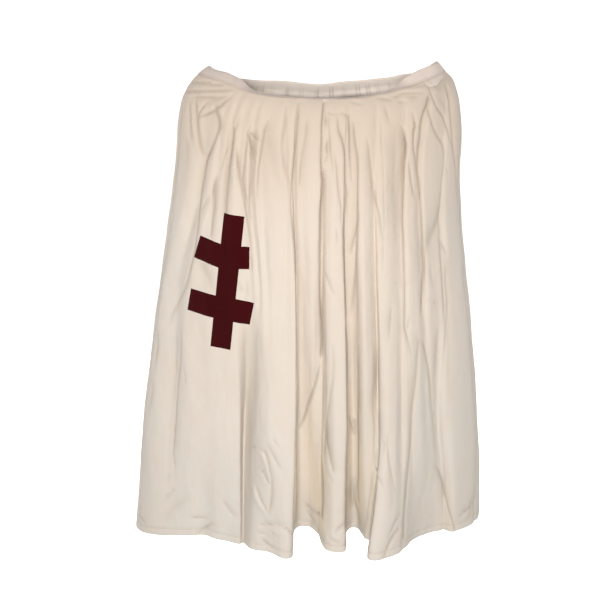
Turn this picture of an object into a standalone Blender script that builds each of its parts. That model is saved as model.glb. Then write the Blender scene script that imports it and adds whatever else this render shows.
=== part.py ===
"""Mantle: a short closed cape of unbleached cotton on a ring neckband, with a laid-on two-bar cross.

The cloth has its worn, filled-out form, hollow and open at neck and hem. Metres, +Z up, the front
faces -Y, and the origin is the middle of the neck, level with the shoulders that carry the cape.
"""
import math
from collections import namedtuple

import bmesh
import bpy
from mathutils import Vector

MM = 0.001

# Cloth and seams, in mm, and how far a wall stretches its offset where it bends
CLOTH_THICK = 1.8
SEAM_GAP = 0.3
BEND_STRETCH = 0.7
CROSS_STRETCH = 1.4
BAND_WIDTH = 22.0
CROSS_THICK = 1.2

# Facets within this reach of a strip of the cross are cut, and corners this close are one, in mm
CUT_REACH = 40.0
CUT_SNAP = 0.001

# The gathers reach this part of their chest depth within this share of the way down
YOKE_SHARE = 0.045
YOKE_PART = 0.7
CHEST_EASE = 0.8
BACK_EASE = 0.8

# From this share of the half width on, folds sink square to the cloth instead of straight back
SIDE_TURN_FROM = 0.72
SIDE_TURN_TO = 0.97
SIDE_SWING = math.radians(63)

# Mesh of the panels: columns from one fold line to the next, and rows by share of the way down
FRONT_STEPS = 2
BACK_STEPS = 3
FRONT_SHARES = (
    0.0, 0.006, 0.016, 0.032, 0.055, 0.085, 0.12, 0.155, 0.195, 0.235, 0.28,
    0.33, 0.385, 0.44, 0.5, 0.565, 0.63, 0.7, 0.77, 0.84, 0.905, 0.96, 1.0,
)
BACK_SHARES = (
    0.0, 0.01, 0.026, 0.05, 0.09, 0.14, 0.2, 0.27, 0.35, 0.44, 0.535, 0.63, 0.725, 0.82, 0.91, 1.0,
)

# Half widths of the filled-out form in mm, by share of the way from the neck seam to the hem
Level = namedtuple("Level", "share left right front back")
BODY = (
    Level(0.000, 209, 215, 98, 100),
    Level(0.015, 221, 227, 106, 109),
    Level(0.035, 232, 234, 113, 118),
    Level(0.060, 240, 240, 118, 125),
    Level(0.100, 246, 245, 123, 132),
    Level(0.140, 249, 247, 128, 137),
    Level(0.200, 255, 246, 133, 142),
    Level(0.280, 266, 250, 138, 147),
    Level(0.400, 283, 262, 144, 152),
    Level(0.550, 303, 279, 149, 157),
    Level(0.750, 329, 297, 154, 164),
    Level(0.900, 342, 308, 160, 170),
    Level(1.000, 351, 311, 166, 174),
)

# Neck seam by share of the half width from left to right: its height at front and back in mm, and how far
# the band leans in over the neck there, in degrees from upright
NeckPoint = namedtuple("NeckPoint", "across front back front_lean back_lean")
NECK = (
    NeckPoint(-1.00, -4, -4, 54, 54),
    NeckPoint(-0.88, -10, -15, 54, 57),
    NeckPoint(-0.68, -23, -29, 46, 47),
    NeckPoint(-0.58, -31, -32, 80, 44),
    NeckPoint(-0.30, -39.5, -36, 85, 44),
    NeckPoint(0.00, -42, -40, 86, 44),
    NeckPoint(0.25, -41, -35, 86, 44),
    NeckPoint(0.50, -33, -30, 84, 44),
    NeckPoint(0.62, -26, -26, 78, 45),
    NeckPoint(0.72, -20, -21, 30, 47),
    NeckPoint(0.88, -9, -14, 24, 54),
    NeckPoint(1.00, 0, 0, 42, 42),
)

# Height of the hem in mm, by share of the half width from the left side to the right
HemPoint = namedtuple("HemPoint", "across height")
HEM_FRONT = (
    HemPoint(-1.00, -850),
    HemPoint(-0.90, -838),
    HemPoint(-0.62, -828),
    HemPoint(-0.42, -834),
    HemPoint(-0.10, -839),
    HemPoint(0.25, -841),
    HemPoint(0.55, -838),
    HemPoint(0.85, -834),
    HemPoint(1.00, -830),
)
HEM_BACK = (
    HemPoint(-1.00, -850),
    HemPoint(-0.50, -836),
    HemPoint(0.00, -840),
    HemPoint(0.50, -836),
    HemPoint(1.00, -830),
)

# Front folds from left to right: where each line runs (mm right of the middle) and how far it sinks (mm)
LINE_SHARES = (0.0, 0.149, 0.424, 0.724, 1.0)
DEPTH_SHARES = (0.0, YOKE_SHARE, 0.149, 0.26, 0.424, 0.724, 1.0)
FoldLine = namedtuple(
    "FoldLine",
    "name neck chest waist thigh hem in_chest in_breast in_waist in_thigh in_hem",
)
FRONT_LINES = (
    FoldLine("side_left", -182, -217, -277, -305, -323, 0, 0, 0, 2, 10),
    FoldLine("fall_left", -166, -195, -254, -263, -259, 22, 18, 14, 16, 28),
    FoldLine("strap", -144, -179, -228, -234, -233, 0, 1, 2, 14, 36),
    FoldLine("tuck_a", -137, -170, -206, -206, -209, 12, 5, 5, 16, 46),
    FoldLine("ridge_a", -132, -161, -190, -184, -186, 5, 3, 3, 15, 42),
    FoldLine("tuck_b", -125, -153, -169, -164, -166, 18, 6, 6, 16, 43),
    FoldLine("ridge_b", -118, -143, -148, -147, -151, 3, 3, 5, 18, 43),
    FoldLine("crease_g", -110, -134, -119, -133, -138, 14, 11, 14, 38, 43),
    FoldLine("ridge_c", -102, -122, -110, -119, -125, 3, 4, 9, 26, 28),
    FoldLine("tuck_c", -95, -114, -103, -108, -112, 16, 12, 8, 13, 27),
    FoldLine("ridge_d", -88, -105, -96, -97, -99, 2, 3, 4, 4, 29),
    FoldLine("tuck_d", -80, -96, -88, -86, -86, 14, 9, 4, 0, 24),
    FoldLine("swell_a", -70, -84, -80, -77, -77, 6, 3, 1, 0, 17),
    FoldLine("swell_b", -62, -69, -68, -67, -68, 0, 0, 0, 0, 11),
    FoldLine("tuck_e", -55, -57, -58, -59, -60, 8, 5, 2, 0, 9),
    FoldLine("swell_c", -46, -51, -49, -50, -54, 0, 0, 0, 1, 12),
    FoldLine("edge_b", -39, -47, -42, -43, -48, 2, 2, 2, 7, 40),
    FoldLine("wall_b", -34, -43, -38, -39, -42, 14, 18, 26, 72, 118),
    FoldLine("floor_b", -30, -38, -31, -31, -31, 2, 12, 25, 80, 134),
    FoldLine("tuck_f", -23, -32, -24, -20, -18, 9, 14, 22, 76, 133),
    FoldLine("floor_f", -12, -17, -13, -11, -9, 0, 6, 17, 66, 122),
    FoldLine("lip_a", 0, -2, -4, -2, 0, 1, 6, 22, 60, 103),
    FoldLine("wall_a", 5, 3, 2, 5, 4, 16, 20, 28, 54, 74),
    FoldLine("rise_a", 13, 12, 9, 13, 11, 9, 9, 10, 26, 50),
    FoldLine("ridge_e", 22, 23, 22, 27, 25, 0, 1, 4, 14, 39),
    FoldLine("ridge_f", 32, 31, 34, 38, 39, 2, 2, 3, 16, 41),
    FoldLine("edge_c", 37, 36, 40, 46, 47, 3, 3, 6, 24, 56),
    FoldLine("wall_c", 41, 41, 46, 53, 55, 14, 22, 34, 88, 118),
    FoldLine("floor_c", 48, 48, 52, 61, 65, 12, 23, 37, 98, 133),
    FoldLine("tuck_g", 55, 57, 59, 67, 74, 13, 20, 30, 90, 127),
    FoldLine("rise_g", 62, 63, 65, 71, 81, 3, 6, 11, 54, 100),
    FoldLine("ridge_g", 70, 71, 73, 82, 86, 0, 2, 4, 43, 84),
    FoldLine("fall_g", 78, 79, 82, 92, 89, 5, 6, 8, 44, 70),
    FoldLine("wall_h", 85, 87, 91, 98, 85, 15, 16, 18, 44, 36),
    FoldLine("edge_h", 91, 94, 98, 105, 86, 5, 5, 6, 24, 8),
    FoldLine("ridge_h", 103, 105, 112, 118, 104, 0, 0, 0, 4, 0),
    FoldLine("fall_h", 115, 116, 125, 131, 124, 3, 3, 3, 6, 5),
    FoldLine("tuck_h", 127, 133, 136, 145, 143, 16, 12, 8, 17, 15),
    FoldLine("edge_i", 135, 139, 143, 156, 157, 7, 6, 5, 20, 33),
    FoldLine("ridge_i", 145, 145, 152, 164, 171, 0, 0, 0, 15, 49),
    FoldLine("fall_i", 158, 152, 163, 177, 190, 5, 4, 2, 15, 59),
    FoldLine("tuck_i", 172, 163, 175, 191, 209, 18, 15, 11, 20, 62),
    FoldLine("ridge_j", 181, 172, 185, 201, 225, 3, 4, 6, 22, 59),
    FoldLine("tuck_j", 189, 185, 200, 211, 241, 6, 7, 9, 27, 54),
    FoldLine("tuck_k", 199, 205, 217, 223, 253, 15, 10, 4, 14, 44),
    FoldLine("ridge_k", 208, 214, 229, 239, 265, 2, 1, 0, 5, 26),
)

# Back folds from right to left: where each line runs, as a share of the turn, and how far it sinks (mm)
BackLine = namedtuple("BackLine", "name neck waist hem in_chest in_waist in_hem")
BACK_LINES = (
    BackLine("ridge_right", 0.06, 0.05, 0.05, 0, 0, 4),
    BackLine("tuck_a", 0.11, 0.10, 0.10, 15, 14, 26),
    BackLine("ridge_a", 0.15, 0.15, 0.16, 0, 2, 8),
    BackLine("tuck_b", 0.19, 0.20, 0.21, 13, 20, 44),
    BackLine("ridge_b", 0.23, 0.25, 0.25, 2, 0, 4),
    BackLine("tuck_c", 0.27, 0.29, 0.29, 16, 12, 30),
    BackLine("ridge_c", 0.31, 0.33, 0.34, 0, 3, 6),
    BackLine("wall_d", 0.35, 0.37, 0.37, 12, 24, 52),
    BackLine("floor_d", 0.38, 0.41, 0.41, 14, 28, 60),
    BackLine("ridge_d", 0.42, 0.44, 0.44, 2, 4, 12),
    BackLine("tuck_e", 0.46, 0.47, 0.47, 14, 10, 20),
    BackLine("ridge_e", 0.50, 0.50, 0.51, 0, 0, 0),
    BackLine("tuck_f", 0.54, 0.54, 0.55, 13, 14, 34),
    BackLine("ridge_f", 0.58, 0.57, 0.58, 1, 2, 8),
    BackLine("floor_g", 0.62, 0.60, 0.61, 15, 30, 58),
    BackLine("wall_g", 0.65, 0.64, 0.65, 9, 22, 54),
    BackLine("ridge_g", 0.69, 0.68, 0.68, 0, 1, 4),
    BackLine("tuck_h", 0.73, 0.73, 0.73, 16, 12, 24),
    BackLine("ridge_h", 0.77, 0.77, 0.77, 2, 0, 6),
    BackLine("tuck_i", 0.81, 0.82, 0.82, 14, 22, 46),
    BackLine("ridge_i", 0.85, 0.86, 0.86, 0, 2, 6),
    BackLine("tuck_j", 0.90, 0.91, 0.91, 15, 12, 24),
    BackLine("ridge_left", 0.95, 0.95, 0.95, 0, 0, 4),
)
BACK_PLACE_SHARES = (0.0, 0.424, 1.0)
BACK_DEPTH_SHARES = (0.0, YOKE_SHARE, 0.149, 0.424, 1.0)

# Strips of the cross: the middles of the two ends (mm right of the middle, mm up) and half the width
CrossStrip = namedtuple("CrossStrip", "name x_from z_from x_to z_to half")
CROSS_STRIPS = (
    CrossStrip("upright", -144, -231, -171, -460, 17.5),
    CrossStrip("upper_left", -209, -288, -149, -307, 20),
    CrossStrip("upper_right", -161, -301, -119, -302, 19),
    CrossStrip("lower_left", -225, -380, -157, -393, 19.5),
    CrossStrip("lower_right", -169, -387, -116, -398, 20),
)

# Colours, linear, and how rough and how downy each cloth is
Finish = namedtuple("Finish", "colour roughness sheen")
COTTON = Finish((0.745, 0.640, 0.525), 0.9, 0.2)
BAND_COTTON = Finish((0.680, 0.575, 0.475), 0.9, 0.2)
MAROON = Finish((0.068, 0.0075, 0.009), 0.85, 0.3)


def smooth_step(low, high, value):
    """0 below low, 1 above high and an even turn between."""
    part = min(1.0, max(0.0, (value - low) / (high - low)))
    return part * part * (3.0 - 2.0 * part)


def curve_slopes(places, values):
    """Slopes of a smooth curve through the points that overshoots none of them."""
    steps = [b - a for a, b in zip(places, places[1:])]
    rises = [(b - a) / step for a, b, step in zip(values, values[1:], steps)]
    slopes = [rises[0]]
    for i in range(1, len(places) - 1):
        before, after = rises[i - 1], rises[i]
        if before * after <= 0.0:
            slopes.append(0.0)
            continue
        weight_before = 2.0 * steps[i] + steps[i - 1]
        weight_after = steps[i] + 2.0 * steps[i - 1]
        slopes.append((weight_before + weight_after) / (weight_before / before + weight_after / after))
    slopes.append(rises[-1])
    return slopes


def curve_at(places, values, slopes, place):
    """Value of that curve at a place."""
    place = min(places[-1], max(places[0], place))
    i = 0
    while i < len(places) - 2 and place > places[i + 1]:
        i += 1
    step = places[i + 1] - places[i]
    t = (place - places[i]) / step
    rest = 1.0 - t
    return (
        values[i] * (1.0 + 2.0 * t) * rest * rest
        + slopes[i] * step * t * rest * rest
        + values[i + 1] * t * t * (3.0 - 2.0 * t)
        - slopes[i + 1] * step * t * t * rest
    )


def curve_value(places, values, place):
    """Value at one place of the smooth curve through the points."""
    return curve_at(places, values, curve_slopes(places, values), place)


def body_size(share, side):
    """Half width of the form on one side at a share of the way down."""
    return curve_value([row.share for row in BODY], [getattr(row, side) for row in BODY], share)


def side_of(across):
    """Name of the side that a turn or a distance from the middle points to."""
    return "left" if across < 0.0 else "right"


def front_turns(share):
    """Turns from the middle and depths of all front lines at a share of the way down."""
    turns = [-math.pi / 2]
    depths = [0.0]
    for line in FRONT_LINES:
        across = (line.neck, line.chest, line.waist, line.thigh, line.hem)
        shares = []
        for level, x in zip(LINE_SHARES, across):
            shares.append(x / body_size(level, side_of(x)))
        turns.append(math.asin(curve_value(LINE_SHARES, shares, share)))
        chest = line.in_chest * CHEST_EASE
        inset = (0.0, chest * YOKE_PART, chest, line.in_breast, line.in_waist, line.in_thigh, line.in_hem)
        depths.append(curve_value(DEPTH_SHARES, inset, share))
    turns.append(math.pi / 2)
    depths.append(0.0)
    return turns, depths


def back_turns(share):
    """The same for the back, from the right side to the left."""
    turns = [math.pi / 2]
    depths = [0.0]
    for line in BACK_LINES:
        place = curve_value(BACK_PLACE_SHARES, (line.neck, line.waist, line.hem), share)
        turns.append(math.pi / 2 - math.pi * place)
        chest = line.in_chest * BACK_EASE
        inset = (0.0, chest * YOKE_PART, chest, line.in_waist, line.in_hem)
        depths.append(curve_value(BACK_DEPTH_SHARES, inset, share))
    turns.append(-math.pi / 2)
    depths.append(0.0)
    return turns, depths


def neck_height(turn, front):
    """Height of the neck seam in mm."""
    heights = [row.front if front else row.back for row in NECK]
    return curve_value([row.across for row in NECK], heights, math.sin(turn))


def hem_height(turn, front):
    """Height of the hem in mm."""
    table = HEM_FRONT if front else HEM_BACK
    return curve_value([row.across for row in table], [row.height for row in table], math.sin(turn))


def panel_steps(front):
    """Columns from one fold line of a panel to the next."""
    return FRONT_STEPS if front else BACK_STEPS


def panel_rows(front, shares):
    """Outer points of a panel, row by row from the neck seam to the hem, in metres."""
    steps = panel_steps(front)
    lines_at = front_turns if front else back_turns
    depth_side = "front" if front else "back"
    facing = -1.0 if front else 1.0
    fine = []
    for share in (0.0, 1.0) + tuple(shares):
        turns, depths = lines_at(share)
        knots = list(range(len(turns)))
        turn_slopes = curve_slopes(knots, turns)
        depth_slopes = curve_slopes(knots, depths)
        row = []
        for i in range((len(turns) - 1) * steps + 1):
            at = i / steps
            turn = curve_at(knots, turns, turn_slopes, at)
            row.append((turn, curve_at(knots, depths, depth_slopes, at)))
        fine.append(row)
    neck_row, hem_row = fine[0], fine[1]
    rows = []
    for share, cells in zip(shares, fine[2:]):
        half = {side: body_size(share, side) for side in ("left", "right")}
        deep = body_size(share, depth_side)
        row = []
        for i, (turn, inset) in enumerate(cells):
            neck_z = neck_height(neck_row[i][0], front)
            hem_z = hem_height(hem_row[i][0], front)
            across = math.sin(turn)
            swing = smooth_step(SIDE_TURN_FROM, SIDE_TURN_TO, abs(across)) * SIDE_SWING
            x = half[side_of(turn)] * across - inset * math.copysign(math.sin(swing), across)
            y = facing * (deep * math.cos(turn) - inset * math.cos(swing))
            row.append(Vector((x, y, neck_z + (hem_z - neck_z) * share)) * MM)
        rows.append(row)
    return rows


def band_direction(turn, front):
    """Inward and upward parts of the band's direction, from the seam to its top edge."""
    leans = [row.front_lean if front else row.back_lean for row in NECK]
    lean = math.radians(curve_value([row.across for row in NECK], leans, math.sin(turn)))
    return math.sin(lean), math.cos(lean)


def neck_inward(turn, front):
    """Level direction from the neck ring to its inside."""
    sideways = -math.sin(turn) / body_size(0.0, side_of(turn))
    back_ways = math.cos(turn) / body_size(0.0, "front" if front else "back")
    return Vector((sideways, back_ways if front else -back_ways, 0.0)).normalized()


def mitre(inward, fall, lean):
    """Inner corner between cloth and band: both meet in the plane that halves their bend."""
    sine, cosine = lean
    band_out = Vector((-inward.x * cosine, -inward.y * cosine, sine))
    level = fall - inward * fall.dot(inward)
    drop = -level.z
    spread = -fall.dot(inward)
    size = math.hypot(drop, spread)
    cloth_out = Vector((-inward.x * drop / size, -inward.y * drop / size, spread / size))
    return -(band_out + cloth_out) / (1.0 + band_out.dot(cloth_out))


def grid_normals(rows):
    """Outward normals of a grid of points, stretched where the sheet bends so that its thickness holds."""
    count_rows, count_cols = len(rows), len(rows[0])
    normals = [[Vector() for _ in range(count_cols)] for _ in range(count_rows)]
    faces = {}
    for r in range(count_rows - 1):
        for c in range(count_cols - 1):
            a, b = rows[r][c], rows[r][c + 1]
            d, e = rows[r + 1][c], rows[r + 1][c + 1]
            normal = (e - a).cross(b - d).normalized()
            middle = (a + b + d + e) / 4
            faces[r, c] = normal
            for rr, cc in ((r, c), (r, c + 1), (r + 1, c), (r + 1, c + 1)):
                normals[rr][cc] += normal
            if r == 0 and c == 0:
                sign = math.copysign(1.0, normal.dot(Vector((middle.x, middle.y, 0.0))))
    for r in range(count_rows):
        for c in range(count_cols):
            unit = (normals[r][c] * sign).normalized()
            close = [
                abs(unit.dot(faces[rr, cc]))
                for rr in (r - 1, r)
                for cc in (c - 1, c)
                if (rr, cc) in faces
            ]
            normals[r][c] = unit / max(BEND_STRETCH, sum(close) / len(close))
    return normals


def panel_shell(front):
    """Outer and inner points of a panel of cloth, with its gaps to the band and to the other panel."""
    rows = panel_rows(front, FRONT_SHARES if front else BACK_SHARES)
    normals = grid_normals(rows)
    half_gap = SEAM_GAP / 2 * MM
    side_gap = Vector((0.0, -half_gap if front else half_gap, 0.0))
    last = len(rows[0]) - 1
    thick = CLOTH_THICK * MM
    neck_turns = neck_turn_list(front)
    inner = []
    for r, row in enumerate(rows):
        inner_row = []
        for c, point in enumerate(row):
            normal = normals[r][c]
            if c in (0, last):
                normal = Vector((normal.x, 0.0, normal.z)).normalized()
            if r == len(rows) - 1:
                normal = Vector((normal.x, normal.y, 0.0)).normalized() * normal.length
            inner_row.append(point - normal * thick)
        inner.append(inner_row)
    for c, point in enumerate(rows[0]):
        inward = neck_inward(neck_turns[c], front)
        fall = (rows[1][c] - point).normalized()
        corner = mitre(inward, fall, band_direction(neck_turns[c], front))
        rows[0][c] = point + fall * half_gap
        inner[0][c] = rows[0][c] + corner * thick
    for grid in (rows, inner):
        for row in grid:
            row[0] = row[0] + side_gap
            row[last] = row[last] + side_gap
    return rows, inner


def neck_turn_list(front):
    """Turns of a panel's columns at the neck seam."""
    turns, _ = (front_turns if front else back_turns)(0.0)
    knots = list(range(len(turns)))
    slopes = curve_slopes(knots, turns)
    steps = panel_steps(front)
    return [curve_at(knots, turns, slopes, i / steps) for i in range((len(turns) - 1) * steps + 1)]


def new_object(name, mesh_builder, material, collection):
    """Adds a closed solid as a named object."""
    mesh = bpy.data.meshes.new(name)
    bmesh.ops.recalc_face_normals(mesh_builder, faces=mesh_builder.faces)
    bmesh.ops.triangulate(mesh_builder, faces=mesh_builder.faces)
    mesh_builder.to_mesh(mesh)
    mesh_builder.free()
    for polygon in mesh.polygons:
        polygon.use_smooth = True
    thing = bpy.data.objects.new(name, mesh)
    mesh.materials.append(material)
    collection.objects.link(thing)
    return thing


def new_material(name, finish):
    """Plain cloth material."""
    material = bpy.data.materials.new(name)
    material.use_nodes = True
    shader = material.node_tree.nodes["Principled BSDF"]
    shader.inputs["Base Color"].default_value = (*finish.colour, 1.0)
    shader.inputs["Roughness"].default_value = finish.roughness
    shader.inputs["Sheen Weight"].default_value = finish.sheen
    return material


def shell_mesh(outer, inner):
    """Closed wall between two grids of points."""
    builder = bmesh.new()
    out = [[builder.verts.new(point) for point in row] for row in outer]
    back = [[builder.verts.new(point) for point in row] for row in inner]
    count_rows, count_cols = len(out), len(out[0])
    for r in range(count_rows - 1):
        for c in range(count_cols - 1):
            builder.faces.new((out[r][c], out[r][c + 1], out[r + 1][c + 1], out[r + 1][c]))
            builder.faces.new((back[r][c], back[r + 1][c], back[r + 1][c + 1], back[r][c + 1]))
    for r in range(count_rows - 1):
        for c in (0, count_cols - 1):
            builder.faces.new((out[r][c], out[r + 1][c], back[r + 1][c], back[r][c]))
    for c in range(count_cols - 1):
        for r in (0, count_rows - 1):
            builder.faces.new((out[r][c], back[r][c], back[r][c + 1], out[r][c + 1]))
    return builder


def neckband_mesh():
    """Ring band above the neck seam, with the columns of both panels."""
    columns = []
    for front in (True, False):
        rows = panel_rows(front, (FRONT_SHARES if front else BACK_SHARES)[:2])
        turns = neck_turn_list(front)
        last = len(turns) - 1
        span = range(0, last + 1) if front else range(1, last)
        for c in span:
            fall = (rows[1][c] - rows[0][c]).normalized()
            columns.append((rows[0][c], fall, turns[c], front))
    builder = bmesh.new()
    loops = []
    for point, fall, turn, front in columns:
        inward = neck_inward(turn, front)
        lean = band_direction(turn, front)
        up = inward * lean[0] + Vector((0.0, 0.0, lean[1]))
        under = inward * lean[1] - Vector((0.0, 0.0, lean[0]))
        foot = point + up * (SEAM_GAP / 2 * MM)
        head = point + up * (BAND_WIDTH * MM)
        foot_in = foot + mitre(inward, fall, lean) * (CLOTH_THICK * MM)
        head_in = head + under * (CLOTH_THICK * MM)
        middle = (foot + head) / 2
        middle_in = middle + under * (CLOTH_THICK * MM)
        loops.append([builder.verts.new(p) for p in (foot, middle, head, head_in, middle_in, foot_in)])
    for i, loop in enumerate(loops):
        following = loops[(i + 1) % len(loops)]
        for k in range(len(loop)):
            n = (k + 1) % len(loop)
            builder.faces.new((loop[k], loop[n], following[n], following[k]))
    return builder


def strip_edges(strip):
    """The four upright planes round a strip of the cross: a point on each and its outward direction."""
    start = Vector((strip.x_from, 0.0, strip.z_from)) * MM
    end = Vector((strip.x_to, 0.0, strip.z_to)) * MM
    along = (end - start).normalized()
    across = Vector((along.z, 0.0, -along.x))
    half = strip.half * MM
    return (
        (start + across * half, across),
        (start - across * half, -across),
        (start, -along),
        (end, along),
    )


def cross_mesh(front_rows):
    """Cross cut from the front panel's own facets, moved out by its gap and closed."""
    builder = bmesh.new()
    grid = [[builder.verts.new(point) for point in row] for row in front_rows]
    for r in range(len(grid) - 1):
        for c in range(len(grid[0]) - 1):
            builder.faces.new((grid[r][c], grid[r][c + 1], grid[r + 1][c + 1], grid[r + 1][c]))
    bmesh.ops.recalc_face_normals(builder, faces=builder.faces)
    bmesh.ops.triangulate(builder, faces=builder.faces)
    edge_sets = [strip_edges(strip) for strip in CROSS_STRIPS]
    reach = CUT_REACH * MM
    snap = CUT_SNAP * MM
    xs = [v * MM for strip in CROSS_STRIPS for v in (strip.x_from, strip.x_to)]
    zs = [v * MM for strip in CROSS_STRIPS for v in (strip.z_from, strip.z_to)]
    far = [
        face for face in builder.faces
        if not (min(xs) - reach < face.calc_center_median().x < max(xs) + reach)
        or not (min(zs) - reach < face.calc_center_median().z < max(zs) + reach)
    ]
    bmesh.ops.delete(builder, geom=far, context="FACES")
    for edges in edge_sets:
        for point, outward in edges:
            near = [
                face for face in builder.faces
                if all(
                    (face.calc_center_median() - p).dot(o) < reach
                    for p, o in edges
                )
            ]
            geometry = near + list({e for f in near for e in f.edges} | {v for f in near for v in f.verts})
            bmesh.ops.bisect_plane(
                builder, geom=geometry, dist=snap, plane_co=point, plane_no=outward,
            )
    outside = [
        face for face in builder.faces
        if not any(
            all((face.calc_center_median() - p).dot(o) < 0.0 for p, o in edges)
            for edges in edge_sets
        )
    ]
    bmesh.ops.delete(builder, geom=outside, context="FACES")
    bmesh.ops.triangulate(builder, faces=builder.faces)
    builder.normal_update()
    if sum(face.normal.y for face in builder.faces) > 0.0:
        bmesh.ops.reverse_faces(builder, faces=builder.faces)
        builder.normal_update()
    under = list(builder.faces)
    outward = {}
    for vertex in builder.verts:
        outward[vertex] = vertex.normal * min(CROSS_STRETCH, vertex.calc_shell_factor())
    for vertex, direction in outward.items():
        vertex.co += direction * (SEAM_GAP * MM)
    copies = {v: builder.verts.new(v.co + outward[v] * (CROSS_THICK * MM)) for v in list(outward)}
    rim = [edge for edge in builder.edges if edge.is_boundary]
    for face in under:
        builder.faces.new([copies[v] for v in face.verts])
    for edge in rim:
        a, b = edge.verts
        builder.faces.new((a, b, copies[b], copies[a]))
    return builder


def build():
    """Makes the mantle."""
    for thing in list(bpy.data.objects):
        bpy.data.objects.remove(thing, do_unlink=True)
    collection = bpy.data.collections.new("mantle")
    bpy.context.scene.collection.children.link(collection)
    front_outer, front_inner = panel_shell(True)
    back_outer, back_inner = panel_shell(False)
    cotton = new_material("unbleached_cotton", COTTON)
    new_object("front", shell_mesh(front_outer, front_inner), cotton, collection)
    back_cotton = new_material("unbleached_cotton_back", COTTON)
    new_object("back", shell_mesh(back_outer, back_inner), back_cotton, collection)
    band_cotton = new_material("band_cotton", BAND_COTTON)
    new_object("neckband", neckband_mesh(), band_cotton, collection)
    maroon = new_material("maroon_cloth", MAROON)
    new_object("cross", cross_mesh(front_outer), maroon, collection)


build()
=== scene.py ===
"""Looks of the mantle: thin cloth shells with folds, creases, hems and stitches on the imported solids."""
import math
from collections import namedtuple

import bmesh
import bpy
import numpy as np
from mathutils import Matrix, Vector, noise
from mathutils.bvhtree import BVHTree


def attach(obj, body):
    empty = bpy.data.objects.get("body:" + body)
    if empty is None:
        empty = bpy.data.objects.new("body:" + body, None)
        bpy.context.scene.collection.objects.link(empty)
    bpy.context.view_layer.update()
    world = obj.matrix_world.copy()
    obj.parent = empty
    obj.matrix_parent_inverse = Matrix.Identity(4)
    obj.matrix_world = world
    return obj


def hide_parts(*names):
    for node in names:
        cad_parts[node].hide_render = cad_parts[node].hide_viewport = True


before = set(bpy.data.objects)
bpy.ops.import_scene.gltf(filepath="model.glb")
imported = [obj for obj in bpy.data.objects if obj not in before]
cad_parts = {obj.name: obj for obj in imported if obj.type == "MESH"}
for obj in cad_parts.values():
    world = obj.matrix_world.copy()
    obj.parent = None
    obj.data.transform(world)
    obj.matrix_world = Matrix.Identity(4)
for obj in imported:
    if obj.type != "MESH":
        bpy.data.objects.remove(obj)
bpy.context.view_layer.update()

# Metres in a millimetre; lengths in the tables and functions are in mm, and a share is the part of the way
# from the neck's edge down to the hem
MM = 0.001

# Form of the panels: gap of the side seams, the yoke where the folds are still shallow, part of the folds'
# depth at the chest, and where and how far that depth swings sideways near the seams
SEAM_GAP = 0.06
YOKE_SHARE = 0.045
YOKE_PART = 0.7
CHEST_EASE = 0.8
SIDE_TURN_FROM = 0.72
SIDE_TURN_TO = 0.97
SIDE_SWING = math.radians(63)

# Thicknesses and widths of the cloth pieces, and how far a hem is thicker than the cloth
CLOTH_THICK = 0.9
HEM_WIDTH = 13.0
HEM_EXTRA = 0.9
BAND_WIDTH = 22.0
BAND_THICK = 1.9
TURN_IN = 15.0

# Cross: thickness, gap to the front, margin of the patch that it is cut from, and how near a cut's faces lie
CROSS_THICK = 0.9
CROSS_LIFT = 0.08
CROSS_MARGIN = 40
CUT_REACH = -14.0

# Weave: size of a thread, and the wave texture's scale that gives one wave to each thread
THREAD_SIZE = 0.55
WAVE_SCALE = 0.314 / (THREAD_SIZE * MM)

# Points of the grids: columns of each piece, step of the inner layer, length that the rows are spread over,
# and how much closer the columns lie where creases bend the cloth
FRONT_COLUMNS = 442
BACK_COLUMNS = 400
BAND_COLUMNS = 221
THIN_OUT = 3
ROWS_LENGTH = 830.0
CREASE_PULL = 4.0

# Reach of a crease in its widths, and how its line of painted shade fades
CREASE_REACH = 4.5
LINE_WIDTH = 1.0
SOFT_WIDTH = 5.0

# Lengths along the cloth: the oval's depth for a half width of 1, the panels' start and drop, their length
# at the gathers and their flat widths at the puckers
OVAL_DEPTH = 0.52
TOP_DROP = 30.0
TOP_TO_HEM = 808.0
GATHER_LENGTH = 810.0
FRONT_FLAT = 1160.0
BACK_FLAT = 1040.0

# Stitches: spacing, and length, width and height of the threads; distance of the cross's seam from its edge
HEM_SPACING, HEM_THREAD = 4.6, (2.8, 0.55, 0.28)
CROSS_SPACING, CROSS_THREAD = 4.2, (2.6, 0.5, 0.25)
BAND_SPACING, BAND_THREAD = 4.8, (2.8, 0.6, 0.3)
CROSS_INSET = 2.6

# Floor in metres
FLOOR_Z = -1.35
FLOOR_RADIUS = 7.0
SWEEP = 2.5
WALL_HEIGHT = 8.0

# Camera: size of the picture and focal length in pixels, width of the film in mm, place in metres and pitch
# down in degrees
PICTURE_SIZE = 600.0
FOCAL_LENGTH = 966.0
FILM_WIDTH = 36.0
CAMERA_PLACE = (-0.0345, -1.70, 0.03)
CAMERA_PITCH = 14.34

# The body's oval: half widths to its left and right and depths to its front and back
Level = namedtuple("Level", "share left right front back")
BODY = [Level(*row) for row in (
    (0.000, 209, 215, 98, 100),
    (0.015, 221, 227, 106, 109),
    (0.035, 232, 234, 113, 118),
    (0.060, 240, 240, 118, 125),
    (0.100, 246, 245, 123, 132),
    (0.140, 249, 247, 128, 137),
    (0.200, 255, 246, 133, 142),
    (0.280, 266, 250, 138, 147),
    (0.400, 283, 262, 144, 152),
    (0.550, 303, 279, 149, 157),
    (0.750, 329, 297, 154, 164),
    (0.900, 342, 308, 160, 170),
    (1.000, 351, 311, 166, 174),
)]

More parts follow.
